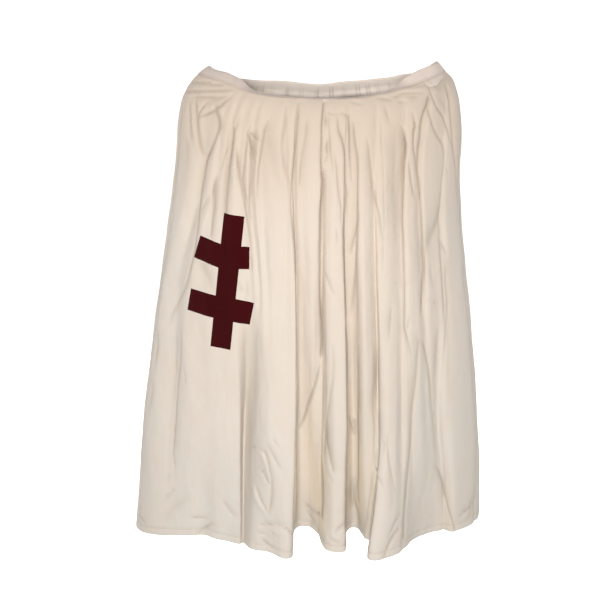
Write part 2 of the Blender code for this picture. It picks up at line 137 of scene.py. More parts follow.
# Height of the neck's edge in front and at the back, and lean of the band at the back in degrees
NeckPoint = namedtuple("NeckPoint", "across front back back_lean")
NECK = [NeckPoint(*row) for row in (
    (-1.00, -4, -4, 54),
    (-0.88, -10, -15, 57),
    (-0.68, -23, -29, 47),
    (-0.58, -31, -32, 44),
    (-0.30, -39.5, -36, 44),
    (0.00, -42, -40, 44),
    (0.25, -41, -35, 44),
    (0.50, -33, -30, 44),
    (0.62, -26, -26, 45),
    (0.72, -20, -21, 47),
    (0.88, -9, -14, 54),
    (1.00, 0, 0, 42),
)]

# Lean of the band along the front: place across and degrees
FRONT_LEAN = (
    (-1.00, 54), (-0.88, 54), (-0.78, 46), (-0.70, 48), (-0.645, 58), (-0.60, 76), (-0.55, 86), (-0.30, 88),
    (0.00, 89), (0.30, 89), (0.56, 88), (0.60, 84), (0.64, 66), (0.69, 44), (0.77, 32), (0.90, 24),
    (1.00, 42),
)

# Height of the hem: place across and height
HEM_FRONT = (
    (-1.00, -850), (-0.90, -838), (-0.62, -828), (-0.42, -834), (-0.10, -839), (0.25, -841), (0.55, -838),
    (0.83, -834), (0.93, -830), (1.00, -830),
)
HEM_BACK = ((-1.00, -850), (-0.50, -836), (0.00, -840), (0.50, -836), (1.00, -830))

# Fold lines of the front: places across at five heights, and how far in each lies from the oval at six
LINE_SHARES = (0.0, 0.149, 0.424, 0.724, 1.0)
DEPTH_SHARES = (0.0, YOKE_SHARE, 0.149, 0.26, 0.424, 0.724, 1.0)
FoldLine = namedtuple(
    "FoldLine",
    "name neck chest waist thigh hem in_chest in_breast in_waist in_thigh in_hem",
)
FRONT_LINES = [FoldLine(*row) for row in (
    ("side_left", -182, -217, -277, -305, -323, 0, 0, 0, 2, 10),
    ("fall_left", -166, -195, -254, -263, -259, 22, 18, 14, 16, 28),
    ("strap", -144, -179, -228, -234, -233, 0, 1, 2, 14, 36),
    ("tuck_a", -137, -170, -206, -206, -209, 12, 5, 5, 16, 46),
    ("ridge_a", -132, -161, -190, -184, -186, 5, 3, 3, 15, 42),
    ("tuck_b", -125, -153, -169, -164, -166, 18, 6, 6, 16, 43),
    ("ridge_b", -118, -143, -148, -140, -144, 3, 3, 5, 16, 40),
    ("crease_g", -110, -134, -119, -133, -139, 14, 11, 12, 38, 45),
    ("ridge_c", -102, -122, -110, -119, -125, 3, 4, 9, 26, 28),
    ("tuck_c", -95, -114, -103, -108, -112, 16, 12, 8, 13, 27),
    ("ridge_d", -88, -105, -96, -97, -99, 2, 3, 4, 4, 29),
    ("tuck_d", -80, -96, -88, -86, -86, 14, 9, 4, 0, 24),
    ("swell_a", -70, -84, -80, -77, -77, 6, 3, 1, 0, 17),
    ("swell_b", -62, -69, -68, -67, -68, 0, 0, 0, 0, 11),
    ("tuck_e", -55, -57, -58, -59, -60, 8, 5, 2, 0, 9),
    ("swell_c", -46, -51, -49, -50, -54, 0, 0, 0, 0, 11),
    ("edge_b", -39, -47, -42, -43, -48, 2, 2, 1, 2, 22),
    ("wall_b", -35, -44, -40.5, -42.4, -46.5, 14, 18, 24, 64, 112),
    ("floor_b", -30, -38, -31, -31, -31, 2, 12, 25, 80, 134),
    ("tuck_f", -23, -32, -24, -20, -18, 9, 14, 22, 76, 133),
    ("floor_f", -12, -17, -13, -11, -9, 0, 6, 17, 66, 122),
    ("lip_a", 0, -2, -4, -2, 0, 1, 6, 22, 60, 103),
    ("wall_a", 5, 3, 2, 5, 4, 16, 20, 28, 54, 74),
    ("rise_a", 13, 12, 9, 13, 11, 9, 9, 10, 26, 50),
    ("ridge_e", 22, 23, 22, 27, 25, 0, 1, 4, 14, 39),
    ("ridge_f", 32, 31, 34, 38, 39, 2, 2, 3, 14, 38),
    ("edge_c", 37, 36, 40, 46, 47, 3, 3, 4, 15, 42),
    ("wall_c", 40, 39.5, 43.5, 50, 52, 14, 20, 28, 68, 110),
    ("floor_c", 48, 48, 52, 61, 65, 12, 20, 31, 84, 130),
    ("tuck_g", 55, 57, 59, 67, 74, 13, 18, 26, 78, 124),
    ("rise_g", 62, 63, 65, 71, 81, 3, 6, 11, 54, 100),
    ("ridge_g", 70, 71, 73, 82, 86, 0, 2, 4, 43, 84),
    ("fall_g", 78, 79, 82, 96, 95, 5, 6, 8, 44, 72),
    ("wall_h", 85, 88, 94, 104.5, 89, 15, 16, 18, 42, 42),
    ("edge_h", 91, 94, 98, 104, 86, 5, 5, 4, 15, 8),
    ("ridge_h", 103, 105, 112, 118, 104, 0, 0, 0, 4, 0),
    ("fall_h", 115, 116, 125, 131, 124, 3, 3, 3, 6, 5),
    ("tuck_h", 127, 133, 136, 145, 143, 16, 12, 8, 17, 15),
    ("edge_i", 135, 139, 143, 156, 157, 7, 6, 4, 14, 30),
    ("ridge_i", 145, 145, 152, 164, 171, 0, 0, 0, 15, 49),
    ("fall_i", 158, 152, 163, 177, 190, 5, 4, 2, 15, 59),
    ("tuck_i", 172, 163, 175, 191, 209, 18, 15, 11, 20, 62),
    ("ridge_j", 181, 172, 185, 201, 225, 3, 4, 6, 22, 59),
    ("tuck_j", 189, 185, 200, 211, 241, 6, 7, 9, 27, 54),
    ("tuck_k", 199, 205, 217, 223, 253, 15, 10, 4, 14, 44),
    ("ridge_k", 208, 214, 229, 239, 265, 2, 1, 0, 5, 26),
)]

# Fold lines of the back: places as parts of the way from the right seam to the left one, and how far in
BACK_PLACE_SHARES = (0.0, 0.424, 1.0)
BACK_DEPTH_SHARES = (0.0, YOKE_SHARE, 0.149, 0.424, 1.0)
BackLine = namedtuple("BackLine", "name neck waist hem in_chest in_waist in_hem")
BACK_LINES = [BackLine(*row) for row in (
    ("ridge_right", 0.06, 0.05, 0.05, 0, 0, 4),
    ("tuck_a", 0.108, 0.102, 0.098, 13, 10, 24),
    ("ridge_a", 0.152, 0.146, 0.158, 0, 2, 8),
    ("tuck_b", 0.194, 0.205, 0.214, 12, 18, 44),
    ("ridge_b", 0.228, 0.245, 0.252, 2, 0, 4),
    ("tuck_c", 0.272, 0.284, 0.288, 9, 5, 18),
    ("ridge_c", 0.314, 0.328, 0.335, 0, 2, 4),
    ("wall_d", 0.348, 0.366, 0.368, 14, 26, 52),
    ("floor_d", 0.382, 0.412, 0.412, 14, 28, 60),
    ("ridge_d", 0.424, 0.446, 0.448, 2, 4, 12),
    ("tuck_e", 0.462, 0.466, 0.472, 6, 4, 11),
    ("ridge_e", 0.498, 0.495, 0.505, 0, 0, 0),
    ("tuck_f", 0.542, 0.536, 0.548, 14, 13, 32),
    ("ridge_f", 0.576, 0.568, 0.578, 1, 2, 8),
    ("floor_g", 0.618, 0.602, 0.612, 15, 30, 58),
    ("wall_g", 0.652, 0.642, 0.652, 7, 20, 52),
    ("ridge_g", 0.692, 0.682, 0.684, 0, 1, 4),
    ("tuck_h", 0.728, 0.734, 0.728, 8, 4, 12),
    ("ridge_h", 0.772, 0.774, 0.77, 2, 0, 6),
    ("tuck_i", 0.812, 0.818, 0.824, 14, 22, 46),
    ("ridge_i", 0.852, 0.862, 0.858, 0, 2, 6),
    ("tuck_j", 0.902, 0.908, 0.912, 9, 5, 14),
    ("ridge_left", 0.95, 0.95, 0.95, 0, 0, 4),
)]

# Strips of the cross, seen from in front: where the middle line of each starts and ends, and its half width
CrossStrip = namedtuple("CrossStrip", "name x_from z_from x_to z_to half")
CROSS_STRIPS = [CrossStrip(*row) for row in (
    ("upright", -144, -231, -171, -460, 17.5),
    ("upper_left", -209, -288, -149, -307, 20),
    ("upper_right", -161, -301, -119, -302, 19),
    ("lower_left", -225, -380, -157, -393, 19.5),
    ("lower_right", -169, -387, -116, -398, 20),
)]

# Creases of the cloth: how deep each is (below zero is a raised ridge), how wide to its left and its right,
# and where it runs: turn from the middle in degrees, height and part of the depth
Crease = namedtuple("Crease", "name depth left right path")
FRONT_CREASES = [Crease(*row) for row in (
    ("shoulder_a", 3.1, 2.2, 2.2, ((-82, -19, 0.6), (-67.8, -18, 1), (-61, -18, 0.9), (-55.7, -21, 1),
        (-50.2, -21, 0.8))),
    ("shoulder_b", 3.4, 2.2, 2.2, ((-86.8, -34, 0.5), (-67, -32, 1), (-55.5, -31, 1), (-48.1, -30, 0.9),
        (-42.4, -29, 0.2))),
    ("shoulder_ridge", -2.1, 3.4, 3.4, ((-82.9, -39, 0.3), (-65, -37, 1), (-51.2, -35, 1),
        (-45.1, -33, 0.8), (-38.9, -30, 0))),
    ("shoulder_hollow", 4.5, 14.8, 2.8, ((-66.9, -43, 0.5), (-56.7, -42, 1), (-48.1, -42, 0.9),
        (-42.1, -38, 0.2))),
    ("strap_top", 4.2, 11.8, 1.5, ((-41.5, -40, 0.3), (-44.3, -53, 1), (-48.5, -64, 1), (-53.7, -70, 0.9),
        (-57.3, -73, 0.4))),
    ("slant_ridge", -2.3, 4.3, 4.3, ((-45, -46, 0.4), (-50.4, -55, 1), (-55.3, -64, 1), (-58, -72, 0.6))),
    ("slant_b", 3.2, 2.2, 2.2, ((-54.3, -49, 0.3), (-56.3, -57, 1), (-58.1, -69, 1), (-58.9, -78, 0.8))),
    ("fall_a", 4.7, 2.2, 4.6, ((-64.2, -45, 0.5), (-61.4, -62, 1), (-58.9, -78, 1), (-56.6, -103, 1),
        (-54.2, -125, 0.8), (-50.4, -143, 0.2))),
    ("fall_ridge", -2.1, 2.8, 2.2, ((-66.3, -48, 0.4), (-61.6, -79, 1), (-57.9, -108, 1),
        (-54.9, -131, 0.8), (-53, -143, 0.2))),
    ("fall_b", 3.6, 3.4, 4.6, ((-68.8, -51, 0.4), (-64.8, -79, 1), (-62.8, -100, 0.9), (-60.8, -115, 0.1))),
    ("fall_c", 2.3, 5.8, 5.8, ((-67.9, -106, 0.3), (-65.6, -129, 1), (-64.1, -155, 0.3))),
    ("strap_edge", 7.0, 5.8, 2.8, ((-47.2, -58, 0.8), (-44.1, -77, 1), (-43.5, -88, 0.9),
        (-45.3, -109, 0.7), (-47.4, -126, 0.9), (-50.2, -148, 1), (-51.1, -170, 1), (-52.1, -203, 1),
        (-51.5, -228, 0.9), (-51.2, -252, 0.8), (-51.5, -286, 0.8), (-52.6, -321, 0.7), (-54.4, -357, 0.6),
        (-61.5, -391, 0.5), (-65.6, -420, 0.3), (-66.2, -445, 0))),
    ("strap_low", 5.6, 2.2, 4, ((-43.5, -172, 0.4), (-43.9, -192, 1), (-43.2, -216, 0.9),
        (-43.3, -242, 0.9), (-43.3, -267, 0.8))),
    ("strap_ridge", -2.3, 3.4, 2.2, ((-44.8, -187, 0.5), (-45.4, -214, 1), (-47.4, -239, 0.9),
        (-48.7, -263, 0.5))),
    ("strap_low_b", 2.6, 2.8, 2.8, ((-46.5, -202, 0.4), (-48.2, -217, 1), (-50, -233, 0.4))),
    ("second", 7.6, 7.3, 2.2, ((-36.3, -90, 0.5), (-35.9, -106, 1), (-36.4, -125, 1), (-37.3, -155, 0.9),
        (-37.7, -183, 0.8), (-37.9, -207, 0.8), (-37.5, -229, 0.7))),
    ("second_left", 2.9, 5.8, 4.3, ((-37.1, -113, 0.3), (-38.9, -129, 1), (-40.8, -150, 0.8),
        (-41.6, -163, 0.2))),
    ("second_top", 2.6, 2.2, 5.8, ((-34, -71, 0.3), (-34.9, -84, 1), (-35.5, -94, 0.6))),
    ("third", 4.4, 2.2, 4, ((-34.3, -121, 0.3), (-33.3, -144, 1), (-32.2, -166, 1), (-30.7, -190, 0.9),
        (-29.1, -217, 1), (-27.6, -241, 1), (-26.4, -263, 0.9), (-25.3, -288, 0.6), (-24.9, -319, 0.3))),
    ("fourth", 3.6, 1.5, 2.2, ((-29.3, -98, 0.5), (-29.9, -121, 1), (-30.6, -149, 0.9), (-31, -173, 0.8),
        (-30.5, -186, 0.7), (-28.7, -205, 0.7), (-26.8, -230, 0.6), (-25.9, -251, 0.2))),
    ("notch", 6.8, 2.2, 7.3, ((-29.5, -97, 0.4), (-28.4, -106, 1), (-27.3, -121, 1), (-27, -138, 0.6))),
    ("notch_top", 5.2, 2.8, 7.3, ((-28.9, -96, 0.3), (-27.3, -101, 1), (-24.8, -107, 0.4))),
    ("fifth", 3.6, 1.5, 2.8, ((-27.3, -125, 0.6), (-27.2, -149, 1), (-27.2, -177, 1), (-27.3, -205, 0.9),
        (-27.2, -230, 0.8), (-25.9, -263, 0.6), (-24.6, -288, 0.3))),
    ("fifth_top", 1.8, 1.5, 1.5, ((-28.6, -79, 0.3), (-29.3, -92, 1), (-29.6, -100, 0.5))),
    ("sixth", 4.4, 1.5, 13.3, ((-21.4, -77, 0.5), (-22.2, -93, 1), (-22.9, -116, 1), (-23.6, -135, 0.9),
        (-24.1, -152, 0.8), (-24.3, -175, 0.7), (-24.3, -201, 0.3))),
    ("sixth_shade", 2.9, 8.8, 11.8, ((-22.1, -89, 0.4), (-20.3, -115, 1), (-18.8, -139, 0.8),
        (-16.8, -163, 0.7), (-14.3, -187, 0.3))),
    ("sixth_ridge", -1.8, 2.8, 2.8, ((-23.2, -79, 0.3), (-24.1, -108, 1), (-25, -131, 0.7),
        (-26.5, -165, 0.3))),
    ("seventh", 2.9, 1.2, 2.2, ((-14.9, -55, 0.4), (-14.5, -79, 1), (-15, -107, 1), (-14.8, -123, 0.9),
        (-14, -147, 1), (-12.8, -171, 0.6), (-12.3, -195, 0.2))),
    ("pleat_b_top", 3.6, 1.5, 8.8, ((-9.6, -49, 0.5), (-9.4, -75, 1), (-9.7, -104, 1), (-10.1, -131, 1),
        (-10.6, -158, 1), (-10.9, -183, 0.6))),
    ("pleat_b", 3.2, 1.5, 8.8, ((-10.6, -163, 0.3), (-11.3, -203, 1), (-10.5, -239, 1), (-9.4, -278, 1),
        (-8.5, -314, 1), (-7.7, -348, 1), (-7.4, -392, 0.9), (-7.1, -447, 0.8), (-7, -524, 0.8),
        (-6.9, -604, 0.8), (-7, -707, 0.8), (-6.9, -773, 1), (-6.7, -825, 1))),
    ("ninth", 2.9, 1.5, 5.2, ((-5.9, -72, 0.3), (-5.9, -91, 1), (-6.6, -115, 1), (-7.3, -136, 1),
        (-7.8, -158, 1), (-8, -179, 0.5))),
    ("pleat_a_top", 3.9, 1.2, 4, ((1.1, -45, 0.7), (0.7, -63, 1), (0.2, -83, 0.9), (0.1, -107, 0.8),
        (-0.2, -138, 0.8), (0.1, -158, 0.9))),
    ("pleat_a", 7.0, 1.5, 4.6, ((0.1, -155, 0.5), (0.7, -175, 1), (0.4, -196, 1), (-0.1, -220, 1),
        (-0.3, -253, 0.8), (-0.5, -286, 0.6), (-0.4, -321, 0.5), (-0.2, -356, 0.6), (0.2, -392, 0.9),
        (0.7, -437, 0.9), (0.4, -474, 0.6))),
    ("pleat_a_low", 3.0, 1.5, 4.6, ((0.6, -483, 0.2), (1.2, -518, 0.8), (1.1, -577, 1), (0.9, -637, 1),
        (0.8, -696, 1), (1, -754, 0.8), (1, -792, 0.5))),
    ("wedge_a", 3.4, 2.8, 2.8, ((1.4, -68, 0.4), (1.7, -77, 1), (1.5, -85, 0.3))),
    ("wedge_b", 4.2, 4.3, 2.8, ((2.6, -105, 0.3), (2, -118, 1), (2.4, -129, 0.6), (1.2, -142, 0.4))),
    ("wedge_edge", 2.3, 5.8, 1.5, ((2.7, -69, 0.3), (3, -99, 0.8), (3.4, -123, 1), (4.4, -154, 0.5))),
    ("tuck_end_a", 2.0, 1.5, 2.8, ((3, -64, 0.8), (5.1, -66, 0.6), (7.9, -66, 0.4))),
    ("tuck_end_b", 2.2, 1.5, 2.8, ((8.3, -63, 0.6), (9.4, -67, 1), (11.1, -69, 0.6))),
    ("tenth", 2.5, 1.2, 2.8, ((4.8, -126, 0.3), (5.8, -151, 1), (6.3, -175, 1), (7, -198, 1),
        (7.8, -219, 0.8), (7.6, -239, 0.4))),
    ("eleventh", 4.4, 1.5, 5.8, ((6.4, -72, 0.4), (6.8, -91, 0.8), (7.8, -103, 1), (8.6, -116, 1),
        (9, -139, 0.9), (9.1, -171, 0.9), (9.7, -192, 1), (9.5, -213, 0.9), (8.8, -233, 0.9),
        (8.6, -260, 1), (8.7, -294, 0.9), (9.1, -329, 0.8), (9.4, -365, 0.8), (9.6, -401, 0.6))),
    ("twelfth_left", 4.7, 1.5, 7.3, ((10.9, -68, 0.6), (11, -91, 1), (10.9, -115, 0.9), (11, -139, 0.7),
        (11.5, -172, 0.4))),
    ("twelfth_right", 4.2, 7.3, 1.5, ((12.5, -79, 0.4), (12.6, -96, 1), (13, -115, 1), (13.8, -136, 1),
        (14, -163, 0.9), (14.1, -196, 0.9), (14.1, -229, 1), (13.6, -251, 1), (12.4, -273, 1),
        (11.5, -290, 0.8))),
    ("twelfth_low", 3.4, 2.8, 1.5, ((14.3, -232, 0.3), (13.8, -271, 0.7), (13.2, -314, 1), (12.6, -341, 1),
        (11.8, -377, 0.8), (11.1, -405, 0.4))),
    ("pleat_c", 3.8, 1.5, 7.3, ((9, -414, 0.3), (9.7, -457, 1), (9.6, -501, 1), (9.5, -556, 1),
        (9.4, -612, 1), (9, -664, 1), (8.9, -724, 1), (8.9, -795, 1))),
    ("slip_ridge", -3.2, 2.2, 2.2, ((10.2, -586, 0.4), (11.9, -602, 1), (13.1, -615, 1),
        (13.7, -626, 0.4))),
    ("slip_dark", 3.9, 4.3, 4.3, ((10.2, -594, 0.3), (11.4, -620, 1), (12.4, -641, 0.6))),
    ("wall_right", 2.8, 7.3, 1.5, ((13.9, -453, 0.3), (13.8, -520, 0.6), (13.7, -601, 0.8), (13.7, -664, 1),
        (13.7, -735, 1), (14.1, -775, 0.8))),
    ("pocket", 6.5, 5.8, 5.8, ((11.7, -737, 0.3), (11.7, -767, 1), (12.6, -790, 1), (13.9, -803, 0.8),
        (14.2, -824, 0.8), (14.4, -840, 0.6))),
    ("thirteenth", 3.4, 5.8, 1.5, ((18, -104, 0.3), (18.5, -126, 1), (19.4, -159, 1), (20.4, -189, 1),
        (21.6, -210, 0.9), (22.9, -230, 0.9), (23.5, -250, 0.8), (24.1, -270, 0.4))),
    ("thin_a", 2.5, 2.8, 5.8, ((26.5, -54, 0.3), (26.9, -63, 1), (27.5, -76, 0.6))),
    ("thin_b", 1.7, 1.2, 1.2, ((24.1, -79, 0.3), (23.7, -107, 1), (24, -131, 0.6), (24.8, -171, 0.6),
        (25.1, -229, 0.8), (24.4, -278, 0.8), (23.7, -320, 0.4))),
    ("fourteenth", 7.6, 5.8, 1.5, ((33.4, -88, 0.3), (34.1, -104, 0.8), (34.4, -118, 1), (34, -133, 1),
        (33.5, -149, 0.9), (33.4, -174, 0.8), (33.2, -206, 0.7), (32.8, -240, 0.6), (33, -273, 0.5),
        (32.9, -310, 0.5), (32.7, -349, 0.5), (32.3, -383, 0.5), (31.7, -419, 0.6), (32.3, -436, 0.5),
        (34.4, -473, 0.2))),
    ("fourteenth_shade", 3.6, 11.8, 8.8, ((30.3, -89, 0.3), (29.4, -124, 1), (29.3, -173, 1),
        (29.9, -222, 0.8), (30.4, -273, 0.3))),
    ("fifteenth", 4.9, 1.5, 2.2, ((38.9, -64, 0.2), (39.4, -76, 0.5), (39.5, -86, 1), (38.7, -94, 1),
        (38.2, -117, 0.7), (39.3, -142, 0.6), (40.1, -162, 0.3))),
    ("sixteenth", 6.6, 1.5, 2.8, ((50, -41, 1), (47.5, -53, 1), (44.7, -66, 0.7), (42.6, -85, 0.8),
        (41.4, -110, 0.8), (40.5, -129, 0.8), (40.5, -151, 0.6), (41.7, -184, 0.6), (42.4, -217, 0.5),
        (42.6, -242, 0.6), (42.8, -276, 0.7), (42.8, -314, 0.8), (41.5, -353, 0.8), (40.5, -379, 0.8),
        (39.7, -399, 0.4))),
    ("sixteenth_low", 3.1, 1.5, 2.8, ((35.9, -145, 0.5), (36.9, -165, 1), (38, -187, 1),
        (39.1, -203, 0.3))),
    ("seventeenth", 3.2, 1.5, 4, ((47.7, -55, 0.5), (48, -69, 1), (49.1, -86, 1), (51.9, -102, 1),
        (56.8, -118, 0.9), (58, -131, 0.8), (58.2, -153, 0.8), (57.5, -178, 0.8), (56.8, -212, 0.7))),
    ("slant_shade", 5.2, 10.3, 7.3, ((56.8, -212, 0.4), (53.5, -245, 1), (48.6, -269, 1), (44.7, -293, 0.8),
        (42.8, -313, 0.2))),
    ("eighteenth", 3.6, 1.5, 4, ((52.5, -26, 0.6), (52.6, -42, 0.9), (53.9, -58, 1), (58.8, -74, 1),
        (60.3, -90, 0.8), (61.6, -107, 0.6), (65.8, -129, 0.5), (70.9, -155, 0.3))),
    ("side_edge", 6.4, 2.2, 3.4, ((69.2, -25, 0.7), (67.5, -42, 1), (66, -63, 1), (65.5, -87, 1),
        (66, -112, 1), (68.7, -138, 1), (72.2, -161, 0.8), (74.5, -186, 0.5), (75.6, -216, 0.2),
        (76, -240, 0))),
    ("under_band", 5.2, 2.8, 2.8, ((52.2, -20, 0.5), (53.4, -22, 1), (56.3, -23, 0.6))),
    ("corner_hollow", 5.9, 11.8, 8.8, ((56.3, -23, 0.4), (60.3, -20, 1), (67.5, -14, 0.9),
        (75.9, -9, 0.4))),
    ("corner_low", 2.8, 8.8, 8.8, ((55.3, -37, 0.4), (60, -46, 0.8), (62.3, -63, 0.6), (61.6, -79, 0.3))),
    ("nick_a", 2.0, 1.2, 1.2, ((59.4, -156, 0.4), (61.7, -167, 0.8))),
    ("neck_a", 2.9, 2.8, 1.5, ((30.8, -40, 0.4), (33.2, -39, 1), (37.6, -34, 1), (42.4, -34, 0.9),
        (47, -33, 0.4))),
    ("neck_ridge", -2.1, 2.8, 2.8, ((35.3, -32, 0.3), (40.6, -28, 1), (47.3, -26, 0.8), (51.4, -26, 0.2))),
    ("neck_b", 2.5, 4.3, 1.5, ((24.1, -40, 0.3), (27.2, -42, 1), (30.3, -43, 0.8))),
    ("neck_c", 2.5, 4.3, 1.5, ((32.9, -46, 0.3), (35.2, -47, 0.8), (37.4, -49, 0.4))),
    ("neck_d", 2.4, 8.8, 2.8, ((38.1, -39, 0.3), (41.3, -40, 1), (43.8, -40, 0.4))),
    ("neck_e", 1.7, 1.5, 1.5, ((13.1, -47, 0.6), (15, -49, 1), (17.7, -50, 0.5))),
    ("mid_d", 2.9, 1.5, 2.2, ((53, -277, 0.5), (56.3, -292, 1), (58.3, -306, 0.4))),
    ("mid_e", 3.4, 1.5, 5.8, ((56, -229, 0.5), (54.2, -271, 0.5), (53.9, -317, 0.8), (53.8, -357, 1),
        (53.3, -393, 0.9), (52.7, -419, 0.4))),
    ("mid_f", 2.3, 2.8, 5.8, ((57.1, -314, 0.3), (56.5, -358, 1), (56.6, -384, 0.7), (53.7, -437, 0.7),
        (51.2, -482, 0.7), (48.4, -538, 0.2))),
    ("mid_g", 2.0, 1.2, 1.2, ((41.8, -383, 0.4), (45.2, -384, 1), (48.9, -388, 0.8), (51.8, -390, 0.2))),
    ("mid_h", 2.0, 2.8, 2.8, ((28.2, -344, 0.3), (31.8, -346, 1), (34.7, -343, 0.8), (38.7, -337, 0.3))),
    ("mid_i", 2.1, 2.8, 3.4, ((46.7, -316, 0.2), (46.2, -337, 0.9), (47.7, -359, 0.2))),
    ("mid_j", 3.5, 7.3, 1.5, ((26.8, -386, 0.4), (26.1, -406, 1), (25.3, -437, 0.5))),
    ("mid_k", 2.2, 2.8, 2.8, ((34.4, -402, 0.3), (33.2, -418, 1), (32.4, -427, 0.3))),
    ("knee_line", 2.2, 1.5, 5.8, ((19, -448, 0.3), (19.2, -501, 0.8), (18.9, -558, 1), (19.3, -616, 1),
        (19.1, -663, 1), (18.8, -686, 0.6))),
    ("knee_shade", 2.9, 2.8, 8.8, ((20.3, -455, 0.3), (20.3, -501, 1), (20, -559, 0.8), (19.7, -634, 0.6))),
    ("knee_slant", 2.9, 1.5, 2.8, ((18.6, -689, 0.5), (19.9, -692, 1), (22.1, -710, 0.3))),
    ("knee_low", 2.8, 7.3, 1.5, ((18.5, -697, 0.4), (17.9, -730, 1), (17.2, -766, 1), (16.6, -799, 1),
        (16.3, -815, 0.8))),
    ("knee_a", 2.6, 2.8, 4.3, ((21.3, -620, 0.3), (22.3, -630, 1), (21.5, -648, 0.4))),
    ("knee_b", 2.3, 1.5, 4.3, ((23.3, -611, 0.3), (23.6, -648, 1), (24.4, -680, 1), (25.9, -719, 0.6))),
    ("knee_c", 2.5, 5.8, 5.8, ((24.1, -676, 0.3), (24.7, -714, 1), (25, -743, 0.6))),
    ("hem_a", 3.6, 2.2, 4.3, ((28.1, -765, 0.3), (26.1, -775, 1), (24.3, -791, 0.8), (23.1, -802, 0.3))),
    ("hem_b", 4.5, 2.8, 2.8, ((27.4, -793, 0.5), (24.9, -805, 1), (23.2, -819, 1), (21.7, -838, 0.6))),
    ("panel_edge", 4.6, 11.8, 3.4, ((37.6, -448, 0.6), (36.6, -482, 0.8), (35.3, -527, 0.8),
        (33.6, -573, 1), (32.7, -631, 1), (31.3, -689, 1), (30.1, -745, 1), (29.4, -782, 1),
        (29.6, -819, 1))),
    ("panel_dark", 3.8, 3.4, 8.8, ((38.9, -449, 0.4), (40.7, -472, 1), (41.8, -502, 1), (42.4, -534, 0.9),
        (42.7, -562, 0.8), (43.3, -602, 0.5), (43.9, -642, 0.3), (44.6, -669, 0.1))),
    ("panel_low", 3.9, 4.3, 4.3, ((44.4, -695, 0.4), (46.4, -716, 1), (49.5, -750, 1), (53.5, -779, 1),
        (56.8, -804, 1), (60.1, -828, 1))),
    ("panel_soft", 3.4, 5.8, 5.8, ((48.4, -446, 0.5), (46.2, -490, 0.8), (44.5, -536, 0.3))),
    ("hem_c", 3.4, 2.8, 4.3, ((62.4, -802, 0.4), (68.3, -797, 1), (75.6, -791, 0.8), (82.4, -785, 0.3))),
    ("hem_d", 3.9, 5.8, 5.8, ((70.3, -772, 0.2), (74.8, -798, 1), (71.8, -813, 0.8))),
    ("left_edge", 4.4, 5.2, 14.8, ((-25.7, -418, 0.3), (-25.4, -455, 1), (-24.3, -559, 1), (-23.9, -616, 1),
        (-24, -673, 1), (-23.7, -730, 1), (-23.2, -788, 1), (-23, -834, 1))),
    ("left_edge_b", 3.1, 8.8, 5.8, ((-22.4, -435, 0.7), (-21.8, -489, 0.9), (-21.1, -534, 0.8),
        (-20, -568, 0.5), (-18.7, -602, 0.3))),
    ("left_plane", 3.0, 8.8, 7.3, ((-23.6, -425, 0.3), (-23.3, -490, 0.9), (-22.6, -600, 1),
        (-22.2, -700, 1), (-21.6, -770, 1), (-21.2, -834, 0.9))),
    ("left_valley", 3.6, 7.3, 2.8, ((-55.4, -439, 0.6), (-54.1, -494, 0.9), (-54.3, -532, 0.9),
        (-54, -579, 0.9), (-53.8, -627, 0.9), (-54.1, -665, 0.8), (-52.6, -694, 0.4))),
    ("left_valley_b", 2.9, 8.8, 8.8, ((-60.5, -462, 0.9), (-58.4, -525, 0.9), (-57.3, -590, 0.7),
        (-56.6, -666, 0.7), (-56.2, -725, 0.3))),
    ("left_nick", 2.2, 1.5, 1.5, ((-50.6, -505, 0.3), (-48.9, -527, 0.9), (-48.3, -539, 0.3))),
    ("left_side_a", 3.6, 4.3, 5.8, ((-74.5, -459, 0.5), (-73.5, -486, 1), (-73.8, -515, 0.6))),
    ("left_side_b", 3.1, 4.3, 5.8, ((-72.9, -552, 0.4), (-72.9, -571, 0.8), (-74.8, -602, 0.4))),
    ("curl", 3.4, 2.2, 4, ((-21.5, -642, 0.5), (-19.4, -638, 1), (-17.4, -639, 1), (-16.1, -650, 1),
        (-15.2, -668, 1), (-14.4, -691, 0.9), (-14.3, -710, 1), (-14.6, -736, 1), (-15.1, -759, 0.5))),
    ("curl_ridge", -3.6, 2.8, 2.8, ((-21, -647, 0.5), (-18.8, -645, 1), (-17, -657, 1), (-15.8, -678, 0.8),
        (-15.3, -699, 0.3))),
    ("curl_b", 3.4, 1.5, 2.8, ((-18.9, -675, 0.4), (-17.2, -681, 1), (-15.9, -692, 1), (-14.8, -701, 0.7))),
    ("curl_c_ridge", -3.3, 2.8, 2.8, ((-22.4, -719, 0.3), (-20.7, -719, 1), (-19.7, -732, 1),
        (-18.4, -746, 1), (-16.6, -756, 0.5))),
    ("curl_c", 3.1, 1.5, 2.2, ((-19.7, -708, 0.3), (-18.8, -721, 0.9), (-17.7, -735, 1), (-16.3, -749, 0.9),
        (-15.6, -758, 0.3))),
    ("curl_d", 2.9, 4.3, 4.3, ((-16.6, -622, 0.3), (-15.2, -634, 0.8), (-13.8, -648, 1), (-12, -665, 0.7))),
    ("curl_e", 2.0, 1.2, 1.2, ((-14.4, -612, 0.3), (-13.8, -619, 0.8), (-12.5, -626, 0.6))),
    ("hem_e", 3.1, 1.5, 5.8, ((-17.8, -785, 0.5), (-15.3, -781, 1), (-12.3, -778, 1), (-9.9, -781, 1),
        (-7.8, -796, 0.6))),
    ("hem_f", 2.9, 2.2, 2.2, ((-17.5, -811, 0.3), (-16, -820, 1), (-14.2, -825, 0.8), (-12.7, -827, 0.3))),
    ("hem_g", 2.2, 1.5, 1.5, ((-18.8, -801, 0.4), (-16.8, -802, 1), (-14.9, -804, 0.3))),
    ("hem_h", 2.0, 1.2, 1.2, ((-14.7, -793, 0.3), (-13.5, -799, 0.9), (-12.2, -802, 0.4))),
